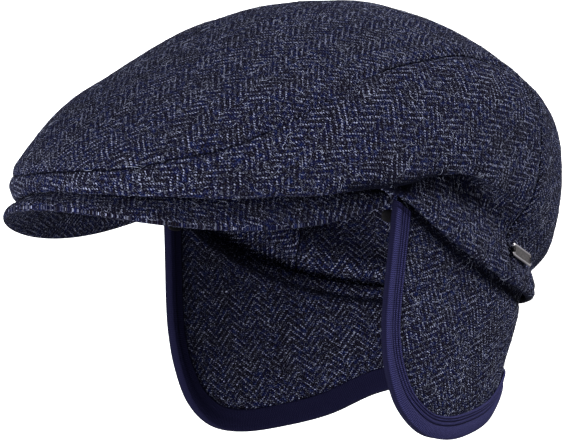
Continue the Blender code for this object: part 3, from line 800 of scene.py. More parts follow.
def unwrapped(grid):
    """Chart of a grid of points at its real size, from Blender's unwrap that stretches least."""
    n, m = grid.shape[:2]
    mesh = bpy.data.meshes.new("chart")
    mesh.from_pydata(grid.reshape(-1, 3).tolist(), [], grid_faces(n, m).tolist())
    mesh.uv_layers.new(name="flat")
    helper = bpy.data.objects.new("chart", mesh)
    bpy.context.scene.collection.objects.link(helper)
    for other in bpy.context.selected_objects:
        other.select_set(False)
    helper.select_set(True)
    bpy.context.view_layer.objects.active = helper
    bpy.ops.object.mode_set(mode="EDIT")
    bpy.ops.mesh.select_all(action="SELECT")
    bpy.ops.uv.unwrap(method="MINIMUM_STRETCH", iterations=UNWRAP_ROUNDS, correct_aspect=False)
    bpy.ops.object.mode_set(mode="OBJECT")
    chart = np.zeros((n * m, 2))
    flat = mesh.uv_layers["flat"].data
    for loop in mesh.loops:
        chart[loop.vertex_index] = flat[loop.index].uv
    bpy.data.objects.remove(helper)
    bpy.data.meshes.remove(mesh)
    chart = chart.reshape(n, m, 2)
    return chart * np.sqrt(cell_areas(grid).sum() / abs(cell_areas(chart).sum()))


def flat_chart(points, every, anchor, axis, sight):
    """Lay a grid of cloth out flat without stretching it: chart places in metres.

    At the anchor cell the chart's second axis covers the given axis when looked at along sight.
    """
    picked = [np.unique(np.append(np.arange(0, size, every), size - 1)) for size in points.shape[:2]]
    chart = unwrapped(points[np.ix_(*picked)])
    for along in (0, 1):
        chart = filled_in(chart, arc_places(points, along), picked[along], along)
    return turned_chart(points, chart, anchor, axis, sight)


def filled_in(chart, places, picked, along):
    """Chart with values for all grid lines, from the values at the picked ones."""
    return np.apply_along_axis(lambda values: np.interp(places, places[picked], values), along, chart)


def arc_places(points, along):
    """Mean length down a grid's columns (0) or across its rows (1), as one place for each grid line."""
    steps = np.linalg.norm(np.diff(points, axis=along), axis=-1)
    return running_total(steps.mean(axis=1 - along))


def cell_areas(grid):
    """Area of each cell of a grid, with a sign in a flat chart."""
    corner = grid[:-1, :-1]
    down = grid[1:, :-1] - corner
    across = grid[:-1, 1:] - corner
    if grid.shape[-1] == 2:
        return down[..., 0] * across[..., 1] - down[..., 1] * across[..., 0]
    return np.linalg.norm(np.cross(down, across), axis=-1)


def turned_chart(points, chart, anchor, axis, sight):
    """Turn a chart so that its second axis follows a direction of the cloth at one cell."""
    i, j = anchor
    reach = 3
    down = points[i + reach, j] - points[i - reach, j]
    across = points[i, j + reach] - points[i, j - reach]
    shares = np.linalg.solve(np.stack([down, across, sight], 1), axis)
    way = (shares[0] * (chart[i + reach, j] - chart[i - reach, j])
           + shares[1] * (chart[i, j + reach] - chart[i, j - reach]))
    along = way / np.linalg.norm(way)
    turn = np.array([[along[1], along[0]], [-along[0], along[1]]])
    return chart @ turn


def shell(name, outer, inner, chart, shade, finish):
    """Closed cloth between an outer and an inner grid, with its weave chart.

    The shade grid holds the distance to the nearest seam, for a painted shade line along it, and how dark
    the painted shade of a fold is, 0 to 1.
    """
    rows, columns = outer.shape[:2]
    points = np.concatenate([outer.reshape(-1, 3), inner.reshape(-1, 3)])
    back = rows * columns
    front_faces = grid_faces(rows, columns)
    back_faces = back + front_faces[:, ::-1]
    rim = np.concatenate([np.arange(columns - 1),
                          np.arange(rows - 1) * columns + columns - 1,
                          (rows - 1) * columns + np.arange(columns - 1, 0, -1),
                          np.arange(rows - 1, 0, -1) * columns])
    after = np.roll(rim, -1)
    rim_faces = np.stack([after, rim, back + rim, back + after], -1)
    faces = np.concatenate([front_faces, back_faces, rim_faces])
    both = {"cloth": chart, "shade": shade}
    charts = {key: np.concatenate([grid.reshape(-1, 2)] * 2) for key, grid in both.items()}
    return mesh_object(name, points, faces, charts, finish)


def mesh_object(name, points, faces, charts, finish):
    """Object with a layer of places on it for each chart, and one finish."""
    mesh = bpy.data.meshes.new(name)
    mesh.from_pydata(np.asarray(points).tolist(), [], [list(face) for face in faces])
    corners = np.empty(len(mesh.loops), np.int32)
    mesh.loops.foreach_get("vertex_index", corners)
    for key, places in charts.items():
        layer = mesh.uv_layers.new(name=key)
        layer.data.foreach_set("uv", places[corners].astype(np.float32).ravel())
    mesh.materials.append(finish)
    mesh.shade_smooth()
    made = bpy.data.objects.new(name, mesh)
    bpy.context.scene.collection.objects.link(made)
    return made


def add_piece(made, slot, *nodes):
    """The piece rides with the cap and stands for the nodes, which it hides. Its slot is not used."""
    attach(made, "root")
    if nodes:
        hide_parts(*nodes)


def add_cloth(node, outer, inner, chart, shade, tweed):
    """Cloth that stands for a node, between an outer and an inner grid. Returns its outer face."""
    made = shell(node + "_cloth", outer, inner, chart, shade, tweed)
    add_piece(made, "tweed", node)
    return outer


# Cloth pieces

def fold_start_shade(away, ring):
    """Painted shade where the fold starts behind the peak, above the front of the flap, from 0 to 1."""
    start, end = FOLD_LOW_RINGS
    low = start + (end - start) * smooth_step(*FOLD_NARROWS, away)
    return within(ring, (low, low + FOLD_SOFT_RINGS), FOLD_HIGH_RINGS) * within(away, FOLD_FROM, FOLD_TO)


def crown_faces(angle, ring, seam_lines, hem_row):
    """Outer and inner faces of crown cloth with rounded edges, seam ridges and a rolled hem, and its
    painted shade.
    """
    surface = crown_outside(angle, ring)
    normals = crown_normal(angle, ring, crown_outside)
    seam = fine_line(np.concatenate([surface[rows, columns] for rows, columns in seam_lines]))
    seam_away = distance_to(seam, surface)
    hem_away = distance_to(fine_line(surface[hem_row]), surface)
    away = from_front(angle)
    off_peak = smooth_step(LEAVES_PEAK_FROM, LEAVES_PEAK_TO, away)
    crease = bell(ring, *CREASE_RINGS) * (1 - smooth_step(*CREASE_TO, away))
    grown = RIDGE_GROWS * smooth_step(*RIDGE_GROWS_REARWARD, away) * smooth_step(*RIDGE_GROWS_UPWARD, ring)
    relief = (1 + grown) * welt(seam_away, *SEAM_RIDGE)
    relief -= CREASE_DEPTH * crease * smooth_step(*CREASE_FROM, away)
    relief -= welt(seam_away, *SEAM_VALLEY)
    relief += off_peak * welt(hem_away, *HEM_ROLL)
    relief -= off_peak * welt(hem_away, *HEM_GROOVE)
    for waves in CROWN_WAVES:
        relief += soft_waves(surface, *waves)
    fall = edge_fall(np.minimum(seam_away, hem_away))
    outer = surface + (relief - fall)[..., None] * normals
    inner = surface - (WALL - fall - np.minimum(relief, 0))[..., None] * normals
    # The painted seam line fades between the forehead and the temple, where its distance is pushed back
    seam_shade_faded = within(away, SHADE_FADES_FROM, SHADE_FADES_TO) * smooth_step(*SHADE_FADES_ABOVE, ring)
    # Painted shade in the crease, where the fold starts behind the peak, and under the hem's edge
    fold = CREASE_SHADE * np.maximum(crease, fold_start_shade(away, ring))
    dark = np.maximum(fold, off_peak * welt(hem_away, *HEM_SHADE))
    return surface, outer, inner, np.stack([seam_away + SEAM_SHADE_FADES * seam_shade_faded, dark], -1)


def nearest_cell(angle, place, anchor, reach=1.0):
    """Cell of a grid nearest to an anchor. The reach counts as much as ANCHOR_DEGREES."""
    turned = (np.degrees(angle) - anchor[0]) / ANCHOR_DEGREES
    away = turned ** 2 + ((place - anchor[1]) / reach) ** 2
    return np.unravel_index(np.argmin(away), away.shape)


def crown_panel(node, grid, seam_lines, hem_row, weave, tweed):
    """Cloth of a crown panel. Its weave is set by an anchor, an axis and a line of sight."""
    angle, ring = grid
    anchor, axis, sight = weave
    surface, outer, inner, shade = crown_faces(angle, ring, seam_lines, hem_row)
    chart = flat_chart(surface, CROWN_CHART_EVERY, nearest_cell(angle, ring, anchor), axis, sight)
    return add_cloth(node, outer, inner, chart, shade, tweed)


def make_side_panel(tweed):
    seam_lines = ((FORWARD, 0), (-1, FORWARD), (BACKWARD, -1))
    weave = (SIDE_WEAVE_ANCHOR, picture_way(SIDE_WEAVE_SLANT), SIGHT)
    return crown_panel("crown_side", side_panel_grid(), seam_lines, 0, weave, tweed)


def make_top_panel(tweed):
    seam_lines = ((BACKWARD, 0), (0, FORWARD), (FORWARD, -1))
    weave = (TOP_WEAVE_ANCHOR, (0.0, 1.0, 0.0), (0.0, 0.0, 1.0))
    return crown_panel("crown_top", top_panel_grid(), seam_lines, -1, weave, tweed)


def make_peak(tweed):
    """Stiff crescent covered in cloth, rounded along its rim and ends."""
    end = peak_end_angle()
    angle = cut_ends(np.linspace(-end, end, PEAK_FINE_COLUMNS + 1))[None, :]
    across = cut_ends(np.linspace(0, 1, PEAK_FINE_ROWS + 1), first=False)[:, None]
    angle, across = np.broadcast_arrays(angle, across)
    inner, outer = head_radius(angle), peak_radius(angle)
    radius = inner + across * (outer - inner)
    top = at_radius(angle, radius, peak_top(angle, radius))
    rim = fine_line(np.concatenate([top[:-1, 0], top[-1], top[-2::-1, -1]]))
    away = np.clip(distance_to(rim, top) / PEAK_RIM_ROUND, PEAK_RIM_BLUNT, 1)
    half = PEAK_THICKNESS / 2 * np.sqrt(1 - (1 - away) ** 2)
    middle = top - (0, 0, PEAK_THICKNESS / 2)
    up = half[..., None] * np.array((0, 0, 1))
    steps = np.linalg.norm(np.diff(middle + up, axis=0), axis=-1)
    reach = inner + np.concatenate([0 * inner[:1], np.cumsum(steps, axis=0)])
    chart = at_radius(angle, reach, 0)[..., :2]
    under_crown = 1 - smooth_step(*PEAK_SHADE_ENDS, across)
    shade = np.stack([np.ones(angle.shape), PEAK_SHADE * under_crown], -1)
    return add_cloth("peak", middle + up, middle - up, chart, shade, tweed)


def make_flap(tweed):
    chart = flap_grid()[:, ::-1]
    angle, height = np.radians(chart[..., 0]), chart[..., 1]
    surface = flap_point(angle, height)
    normals = flap_normal(angle, height)
    edge_away = distance_to(border(surface), surface)
    fall = edge_fall(edge_away)
    tuck = bell(ring_points(0, angle)[..., 2] - height, *TUCK_BELOW)
    relief = soft_waves(surface, *FLAP_WAVES) * smooth_step(*FLAP_WAVES_FROM_EDGE, edge_away)
    relief -= TUCK_DEPTH * tuck
    shade = np.stack([np.ones(tuck.shape), TUCK_SHADE * tuck], -1)
    outer = surface + (relief - fall)[..., None] * normals
    inner = surface - (WALL - fall - relief)[..., None] * normals
    anchor = nearest_cell(angle, height, FLAP_WEAVE_ANCHOR, ANCHOR_HEIGHT)
    axis = picture_way(FLAP_WEAVE_SLANT)
    weave = flat_chart(surface, FLAP_CHART_EVERY, anchor, axis, SIGHT)
    return add_cloth("ear_flap", outer, inner, weave, shade, tweed)


def binding_height(along):
    """How far the tape stands above the flap's face: a fat roll at the rim, then a ribbed band."""
    roll = np.sqrt(np.clip(1 - ((along - ROLL_MIDDLE) / ROLL_HALF_WIDTH) ** 2, 0, None))
    band = BAND_HEIGHT * smooth_step(BINDING_WIDTH, BINDING_WIDTH - BAND_EDGE, along)
    for place in BAND_GROOVES:
        band = band - welt(along, BAND_GROOVE_DEPTH, place, BAND_GROOVE_SPREAD)
    return np.maximum(ROLL_HEIGHT * roll, np.maximum(band, TAPE_THINNEST))


def binding_section():
    """Closed section of the tape: along the flap from its rim, and out of the flap's face."""
    fold = ROLL_MIDDLE - ROLL_HALF_WIDTH
    along = np.linspace(BINDING_WIDTH, fold, FACE_POINTS)
    face = np.column_stack([along, BINDING_GAP + binding_height(along)])
    back_face = -WALL - BINDING_GAP
    hidden = np.linspace(fold, BINDING_WIDTH, BACK_POINTS)
    back = np.column_stack([hidden, back_face - BACK_ROLL_SHARE * binding_height(hidden)])
    channel = ((BINDING_WIDTH, back_face), (-BINDING_GAP, back_face), (-BINDING_GAP, BINDING_GAP),
               (BINDING_WIDTH, BINDING_GAP))
    return np.concatenate([face, back, channel])


def drawn_over(along, out, from_end):
    """Where a point of the section lies: the tape is drawn in at the front and spreads below."""
    below = smooth_step(*TAPE_TURNS, from_end)
    at_front, at_bottom = [np.interp(along, TAPE_MARKS, places) if along > 0 else along
                           for places in (TAPE_AT_FRONT, TAPE_BELOW)]
    share = FRONT_ROLL_SHARE + (1 - FRONT_ROLL_SHARE) * below
    out_here = BINDING_GAP + share * (out - BINDING_GAP) if out > BINDING_GAP else out
    return at_front + (at_bottom - at_front) * below, out_here


def make_binding(tape):
    """Knitted tape folded over the free edge of the flap."""
    rim = flap_rim()
    section = binding_section()
    run = run_along(near_rim(rim, 0.0, 0.0))
    from_end = np.minimum(run, run[-1] - run)
    loops = np.stack([near_rim(rim, *drawn_over(along, out, from_end)) for along, out in section], 1)
    width = run_along(section)
    turned = FACE_POINTS - 1
    on_face = np.arange(len(section)) <= turned
    flat_width = np.where(on_face, section[:, 0], width[turned] + section[turned, 0] - width)
    chart = np.stack(np.meshgrid(flat_width, from_end), -1)
    made = tube("flap_binding_tape", loops, chart, tape)
    add_piece(made, "binding_tape", "flap_binding")


def make_fibres(surfaces, finish):
    """Curly wool hairs that lie on the outer faces of the cloth and here and there stand up."""
    rng = np.random.default_rng(FIBRE_SEED)
    areas = np.array([cell_areas(grid).sum() for grid in surfaces])
    counts = [int(FIBRE_COUNT * share) for share in areas / areas.sum()]
    lines = np.concatenate([fibres_on(grid, count, rng) for grid, count in zip(surfaces, counts)])
    radii = FIBRE_RADIUS * rng.uniform(*FIBRE_THICKNESSES, len(lines))
    made = strands("stray_fibres", lines, radii, finish)
    add_piece(made, "tweed")


def fibres_on(grid, count, rng):
    """Wandering lines on a grid of cloth, each with the same number of points."""
    rows, columns = grid.shape[:2]
    cells = cell_areas(grid)
    picked = rng.choice(cells.size, count, p=(cells / cells.sum()).ravel())
    at = np.stack(np.unravel_index(picked, cells.shape), -1) + rng.uniform(0, 1, (count, 2))
    heading = rng.uniform(0, 2 * pi, count)
    curl = rng.normal(0, FIBRE_CURL, count)
    step = rng.uniform(*FIBRE_STEP_LENGTHS, count)
    lift = FIBRE_LIFT * rng.uniform(0.5, 1.0, count)
    lift = lift + FIBRE_STANDS * (rng.uniform(0, 1, count) > FIBRES_LYING)
    points = []
    for k in range(FIBRE_STEPS):
        base, down, across = on_grid(grid, at)
        normal = unit(np.cross(across, down))
        normal *= np.where(dot(normal, base)[:, None] > 0, 1, -1)
        height = lift * np.sin(pi * (k + 0.5) / FIBRE_STEPS) + FIBRE_RADIUS
        points.append(base + height[:, None] * normal)
        beside = unit(np.cross(normal, across))
        way = np.cos(heading)[:, None] * unit(across) + np.sin(heading)[:, None] * beside
        at = np.clip(at + in_cells(way, step, down, across), 0, (rows - 1.001, columns - 1.001))
        heading = heading + curl + rng.normal(0, FIBRE_WANDER, count)
    return np.stack(points, 1)


def dot(first, second):
    return (first * second).sum(-1)


def in_cells(way, step, down, across):
    """A step over the cloth as rows and columns of its grid, given the steps down and across a cell."""
    both = dot(down, across)
    tall, wide = dot(down, down), dot(across, across)
    along_down, along_across = dot(way, down) * step, dot(way, across) * step
    det = tall * wide - both ** 2
    return np.stack([(wide * along_down - both * along_across) / det,
                     (tall * along_across - both * along_down) / det], -1)


def on_grid(grid, place):
    """Point of a grid between its corners, with the steps down a row and across a column there."""
    cell = np.floor(place).astype(int)
    down_share, across_share = (place - cell).T[..., None]
    i, j = cell.T
    corner, below, beside, far = grid[i, j], grid[i + 1, j], grid[i, j + 1], grid[i + 1, j + 1]
    down = (below - corner) * (1 - across_share) + (far - beside) * across_share
    across = (beside - corner) * (1 - down_share) + (far - below) * down_share
    return corner + down_share * (below - corner) + across_share * across, down, across


def tube_walls(count, around):
    """Quads between a row of closed loops."""
    start = np.arange(count - 1)[:, None] * around + np.arange(around)
    beside = np.roll(start, -1, axis=1)
    return np.stack([start, beside, beside + around, start + around], -1).reshape(-1, 4)


def tube(name, loops, charts, finish):
    """Solid between the loops of a row of sections, with flat ends."""
    count, around = loops.shape[:2]
    faces = tube_walls(count, around).tolist()
    faces.append(list(range(around))[::-1])
    faces.append([(count - 1) * around + j for j in range(around)])
    return mesh_object(name, loops.reshape(-1, 3), faces, {"cloth": charts.reshape(-1, 2)}, finish)


# Small pieces

def set_down(made, point, along, up, outward):
    """Set an object down with its X along, Y up and Z outward."""
    axes = Matrix([along, up, outward]).transposed()
    made.matrix_world = Matrix.Translation(Vector(point)) @ axes.to_4x4()


def blunted(wave, power):
    """A wave of values between -1 and 1, raised to a power with its signs kept."""
    return np.sign(wave) * np.abs(wave) ** power


def make_tab(name, frame, plastic, node):
    """Smooth rounded toggle end that shows a little in front of the flap's edge."""
    point, outward, into_cloth, along_edge = frame
    turn = np.linspace(0, 2 * pi, TAB_AROUND + 1)[:-1]
    lift = np.linspace(-TAB_POLE, TAB_POLE, TAB_RINGS)[:, None]
    along_power, across_power, lift_power = TAB_POWERS
    ring = np.cos(lift) ** lift_power
    x = TAB_LENGTH / 2 * ring * blunted(np.cos(turn), along_power)
    y = TAB_HEIGHT / 2 * ring * blunted(np.sin(turn), across_power)
    z = TAB_THICKNESS / 2 * np.sin(lift) + 0 * x
    points = np.stack([x, y, z], -1)
    made = tube(name, points, points[..., :2], plastic)
    behind = WALL + BINDING_GAP + BINDING_WALL + GAP + TAB_THICKNESS / 2
    back = TAB_LENGTH / 2 - TAB_SHOWS - BINDING_WALL - BINDING_GAP
    set_down(made, point - behind * outward + back * into_cloth, into_cloth, along_edge, outward)
    add_piece(made, "tab_black", node)


def make_tabs(plastic):
    angle, height, into_cloth = flap_rim()
    outward = flap_normal(angle, height)
    points = flap_point(angle, height)
    row = int(np.argmax(height < height[0] - TAB_DROP))
    for side, k in (("left", row), ("right", -1 - row)):
        frame = (points[k], outward[k], into_cloth[k], np.cross(outward[k], into_cloth[k]))
        make_tab("flap_tab_%s_toggle" % side, frame, plastic, "flap_tab_" + side)


def badge_outline(inset=0.0):
    """Rectangle with rounded corners and a half-round notch in each short end."""
    length, width = BADGE_LENGTH / 2 - inset, BADGE_WIDTH / 2 - inset
    round_corner = BADGE_CORNER - 0.5 * inset
    quarter = np.linspace(0, pi / 2, BADGE_CORNER_POINTS)
    corner = round_corner * np.stack([np.cos(quarter), np.sin(quarter)], -1)
    upper = corner + (length - round_corner, width - round_corner)
    turn = np.linspace(-pi / 2, pi / 2, BADGE_NOTCH_POINTS)
    notch = np.stack([length - BADGE_NOTCH * np.cos(turn), BADGE_NOTCH * np.sin(turn)], -1)
    right = np.concatenate([upper[::-1] * (1, -1), notch, upper])
    return np.concatenate([right, -right])


def badge_frame():
    """Middle of the badge with the directions along, across and out of it."""
    angle, ring = np.array(BADGE_ANGLE), np.array(BADGE_RING)
    outward = crown_normal(angle, ring, crown_outside)
    level = unit(np.cross((0, 0, 1), outward))
    up = np.cross(outward, level)
    along = np.cos(BADGE_TURN) * level - np.sin(BADGE_TURN) * up
    across = np.cross(outward, along)
    point = crown_outside(angle, ring)
    lift = cloth_rise(point, along, across, outward) + GAP + BADGE_THICKNESS / 2
    return point + lift * outward, along, across, outward


def make_badge(metal):
    """Small metal plate on the back panel: bevelled, with a raised rim round a bare face."""
    half = BADGE_THICKNESS / 2
    rim, bevel = BADGE_RIM, BADGE_BEVEL
    rings = ((0.0, -half), (0.0, half - bevel), (bevel, half), (rim, half), (rim + bevel / 2, half - bevel))
    loops = np.stack([np.column_stack([badge_outline(inset), np.full(len(badge_outline()), z)])
                      for inset, z in rings])
    made = tube("badge_plate", loops, loops[..., :2], metal)
    made.data.shade_flat()
    set_down(made, *badge_frame())
    add_piece(made, "badge_metal", "badge")


def make_badge_thread(thread):
    """Three strands through each notch of the badge, into the cloth beyond its end."""
    bend = np.linspace(0, pi, THREAD_POINTS)
    start = BADGE_LENGTH / 2 - BADGE_NOTCH - THREAD_STARTS
    end = BADGE_LENGTH / 2 + THREAD_ENDS
    arch = np.sin(bend) ** THREAD_ARCH_POWER
    z = -BADGE_THICKNESS / 2 + THREAD_ARCH * BADGE_THICKNESS * arch
    loops = []
    for side in (-1, 1):
        x = side * (start + (end - start) * (1 - np.cos(bend)) / 2)
        for shift in (-THREAD_APART, 0.0, THREAD_APART):
            loops.append(np.column_stack([x, np.full(len(x), shift), z]))
    radii = np.full(len(loops), THREAD_RADIUS)
    made = strands("badge_thread", loops, radii, thread, THREAD_SIDES)
    set_down(made, *badge_frame())
    add_piece(made, "tab_black")


def strands(name, lines, radii, finish, sides=3):
    """Thin closed tubes along short lines that all have the same number of points."""
    lines = np.asarray(lines)
    count, steps = lines.shape[:2]
    forward = unit(np.gradient(lines, axis=1))
    leaning = (0.31, 0.17, 0.93)
    aside = unit(np.cross(forward, leaning))
    other = np.cross(forward, aside)
    turn = 2 * pi * np.arange(sides) / sides
    taper = np.sqrt(np.sin(pi * np.linspace(*STRAND_TAPER, steps)))
    thick = radii[:, None, None, None] * taper[None, :, None, None]
    round_line = np.cos(turn)[:, None] * aside[:, :, None] + np.sin(turn)[:, None] * other[:, :, None]
    points = lines[:, :, None] + thick * round_line
    strand = np.arange(count)[:, None] * steps * sides
    walls = (strand[..., None] + tube_walls(steps, sides)).reshape(-1, 4)
    first = strand + np.arange(sides)
    last = first + (steps - 1) * sides
    faces = walls.tolist() + first[:, ::-1].tolist() + last.tolist()
    flat = points.reshape(-1, 3)
    return mesh_object(name, flat, faces, {"cloth": flat[:, :2]}, finish)


def cloth_rise(point, along, across, outward):
    """How far the crown's cloth under the badge rises above the plane through a point."""
    reach = UNDER_BADGE_REACH * BADGE_LENGTH / HEAD_LENGTH
    columns, rows = UNDER_BADGE_GRID
    angles = np.linspace(BADGE_ANGLE - reach, BADGE_ANGLE + reach, columns)[:, None]
    rings = np.linspace(BADGE_RING - 1, BADGE_RING + 1, rows)[None, :]
    cloth = crown_outside(*np.broadcast_arrays(angles, rings)) - point
    under = np.abs(cloth @ along) < BADGE_LENGTH / 2 + GAP
    under &= np.abs(cloth @ across) < BADGE_WIDTH / 2 + GAP
    return np.max((cloth @ outward)[under])


# Finishes

class Finish:
    """A material under construction: each call adds nodes and returns the last one's output."""

    def __init__(self, name):
        self.material = bpy.data.materials.new(name)
        self.material.use_nodes = True
        self.tree = self.material.node_tree
        self.shader = next(n for n in self.tree.nodes if n.type == "BSDF_PRINCIPLED")

    def link(self, value, socket):
        """Link an output to a socket, or set the socket to a number, a vector or an opaque colour."""
        if isinstance(value, bpy.types.NodeSocket):
            self.tree.links.new(value, socket)
        elif socket.type == "RGBA":
            socket.default_value = (*value, 1.0)
        else:
            socket.default_value = value

    def fill(self, node, values):
        """Set inputs by name, with a low line in place of each space."""
        for name, value in values.items():
            self.link(value, node.inputs[name.replace("_", " ")])

    def add(self, kind, *values, **named):
        """New node: the values go to its first inputs in order, the named ones by name."""
        node = self.tree.nodes.new("ShaderNode" + kind)
        for value, socket in zip(values, node.inputs):
            self.link(value, socket)
        self.fill(node, named)
        return node

    def math(self, operation, *values, clamp=False):
        node = self.add("Math", *values)
        node.operation = operation
        node.use_clamp = clamp
        return node.outputs[0]

    def vector(self, operation, *values):
        node = self.add("VectorMath", *values)
        node.operation = operation
        return node.outputs[0]

    def ramp(self, value, low, high, start=0.0, end=1.0):
        """Smooth change from start to end while value goes from low to high."""
        node = self.add("MapRange", Value=value, From_Min=low, From_Max=high, To_Min=start, To_Max=end)
        node.interpolation_type = "SMOOTHSTEP"
        return node.outputs["Result"]

    def near(self, value, place, reach):
        """1 where the value is at the place, falling to 0 at the reach."""
        away = self.math("ABSOLUTE", self.math("SUBTRACT", value, place))
        return self.ramp(away, 0.0, reach, 1.0, 0.0)

    def noise(self, places, scale, detail=2.0, roughness=0.5, distortion=0.0, output="Fac"):
        node = self.add("TexNoise", Vector=places, Scale=scale, Detail=detail, Roughness=roughness,
                        Distortion=distortion)
        return node.outputs[output]

    def fine_grain(self, places, scale):
        return self.noise(places, scale, detail=3.0, roughness=0.65)

    def wander(self, places, scale, reach):
        """Places pushed about a little by noise."""
        pushed = self.vector("SUBTRACT", self.noise(places, scale, output="Color"), (0.5, 0.5, 0.5))
        return self.vector("ADD", places, self.scaled(pushed, reach))

    def scaled(self, places, factor):
        return self.vector("MULTIPLY", places, (factor, factor, factor))

    def moved(self, places, distance):
        return self.vector("ADD", places, (distance, -distance, 0.0))

    def random(self, x, y):
        node = self.add("TexWhiteNoise", self.join(x, y, 0.0))
        node.noise_dimensions = "2D"
        return node.outputs["Value"]

    def mix(self, share, first, second):
        node = self.add("Mix", share)
        node.data_type = "RGBA"
        for name, value in (("A", first), ("B", second)):
            self.link(value, next(s for s in node.inputs if s.name == name and s.type == "RGBA"))
        return next(s for s in node.outputs if s.type == "RGBA")

    def chart(self, name="cloth"):
        node = self.add("UVMap")
        node.uv_map = name
        return node.outputs[0]

    def object_places(self):
        return self.add("TexCoord").outputs["Object"]

    def split(self, value):
        return self.add("SeparateXYZ", value).outputs[:]

    def join(self, x, y, z):
        return self.add("CombineXYZ", x, y, z).outputs[0]

    def bump(self, height, distance, strength=1.0):
        node = self.add("Bump", Strength=strength, Distance=distance, Height=height)
        self.link(node.outputs[0], self.shader.inputs["Normal"])

    def set(self, **values):
        self.fill(self.shader, values)


def tweed_finish(name):
    """Wool herringbone: pale weft floats in chains on dark navy, with curly hairs over them, painted
    highlights on the floats' crowns and painted shade in crevices, seams and folds.
    """
    f = Finish(name)
    chart = f.chart()
    wandering = chart
    for scale, reach in YARN_WANDERS:
        wandering = f.wander(wandering, scale, reach)
    weft, height, luck = woven(f, wandering)
    fuzz = f.fine_grain(chart, 2600.0)
    hairs = curly_hairs(f, chart)
    cloth = f.mix(pale_share(f, chart, weft, luck, fuzz), dark_ground(f, chart, height), PALE)
    woolly = f.mix(hairs, cloth, HAIR)
    # Painted shade: a line along each seam with a ragged edge, and the shade of folds and creases from the
    # shade chart
    seam_away, fold, _ = f.split(f.chart("shade"))
    pucker_shade_noise = f.noise(f.moved(chart, 1.7), SEAM_PUCKER_SHADE, detail=1.0)
    ragged = f.math("MULTIPLY_ADD", pucker_shade_noise, SEAM_RAGGED, -0.5 * SEAM_RAGGED)
    seam_shade_line = f.ramp(f.math("ADD", seam_away, ragged), *SEAM_LINE, 0.85, 0.0)
    shade = f.math("MAXIMUM", seam_shade_line, fold)
    f.set(Base_Color=f.mix(shade, woolly, SHADE_TONE), Roughness=0.95, Specular_IOR_Level=0.02,
          Sheen_Weight=TWEED_SHEEN, Sheen_Roughness=0.6, Sheen_Tint=(0.35, 0.40, 1.0))
    relief = f.math("MULTIPLY_ADD", fuzz, 0.7, height)
    f.bump(f.math("MULTIPLY_ADD", hairs, 0.5, relief), TWEED_BUMP, 0.9)
    return f.material


def woven(f, chart):
    """Herringbone: how far the weft stands up, how far either yarn does, and a number for each float."""
    x, y, _ = f.split(f.scaled(chart, 1 / YARN))
    i, j = f.math("FLOOR", x), f.math("FLOOR", y)
    column = f.math("FLOOR", f.math("DIVIDE", i, float(COLUMN_YARNS)))
    side = f.math("MULTIPLY_ADD", f.math("FLOORED_MODULO", column, 2.0), -2.0, 1.0)
    middle = f.math("MULTIPLY_ADD", side, -0.5, 2.5)
    weft_place = f.math("SUBTRACT", f.math("SUBTRACT", j, f.math("MULTIPLY", side, x)), middle)
    warp_place = f.math("SUBTRACT", f.math("SUBTRACT", y, f.math("MULTIPLY", side, i)), 1.0)
    weft = f.math("MULTIPLY", hump(f, wrapped(f, weft_place)), roundness(f, y))
    warp = f.math("MULTIPLY", hump(f, wrapped(f, warp_place)), roundness(f, x))
    float_number = f.math("FLOOR", f.math("DIVIDE", f.math("ADD", weft_place, 2.0), 4.0))
    return weft, f.math("MAXIMUM", weft, warp), f.random(j, float_number)


def pale_share(f, chart, weft, luck, fuzz):
    """How much pale shows: the crowns of short weft floats, pale yarn with a painted highlight, of uneven
    strength and weaker in patches, and loose specks.
    """
    breaks = f.math("MULTIPLY_ADD", fuzz, FUZZ_BREAKS, -0.5 * FUZZ_BREAKS)
    # The pale shows only near the crown of each weft float: the yarn's own colour, with a painted highlight
    # there
    bead = f.ramp(f.math("ADD", f.math("POWER", weft, BEAD_SHORTNESS), breaks), 0.50, 1.0)
    small, large = [f.ramp(f.noise(f.moved(chart, shift), scale), 0.36, 0.64, least, most)
                    for scale, shift, least, most in PALE_PATCHES]
    uneven = f.math("MULTIPLY", f.ramp(luck, 0.0, 1.0, 0.10, 1.25), f.math("MULTIPLY", small, large))
    grain = f.noise(f.moved(chart, 1.3), 1500.0, detail=2.0, roughness=0.7)
    specks = f.ramp(grain, 0.60, 0.72, 0.0, SPECKS)
    return f.math("MAXIMUM", f.math("MULTIPLY", bead, uneven), specks)


def dark_ground(f, chart, height):
    """Navy yarns flecked with blue and brown, brown in patches too, and painted shade, near black, in the
    crevices.
    """
    heather = f.noise(f.moved(chart, 0.7), 420.0, detail=3.0, roughness=0.6)
    yarn = f.mix(f.ramp(heather, 0.42, 0.60), BROWN_YARN, NAVY_YARN)
    yarn = f.mix(f.ramp(heather, 0.58, 0.68), yarn, BLUE_YARN)
    patches = f.noise(f.moved(chart, 1.1), 75.0, detail=2.0)
    yarn = f.mix(f.ramp(patches, 0.48, 0.64, 0.0, 0.8), yarn, BROWN_YARN)
    return f.mix(f.ramp(height, 0.0, 0.6), CREVICE_SHADE, yarn)


def wrapped(f, value):
    """Value folded into the range -2 to 2."""
    return f.math("SUBTRACT", f.math("FLOORED_MODULO", f.math("ADD", value, 2.0), 4.0), 2.0)


def hump(f, away):
    """Rise of a yarn over the two it floats across: 1 in the middle, 0 at both ends."""
    return f.math("SUBTRACT", 1.0, f.math("POWER", f.math("ABSOLUTE", away), 2.0), clamp=True)


def roundness(f, across):
    """Round section of a yarn from its place across the cloth."""
    off = f.math("SUBTRACT", f.math("FRACT", across), 0.5)
    squared = f.math("POWER", f.math("ABSOLUTE", off), 2.0)
    return f.math("SUBTRACT", 1.0, f.math("MULTIPLY", squared, 3.2), clamp=True)


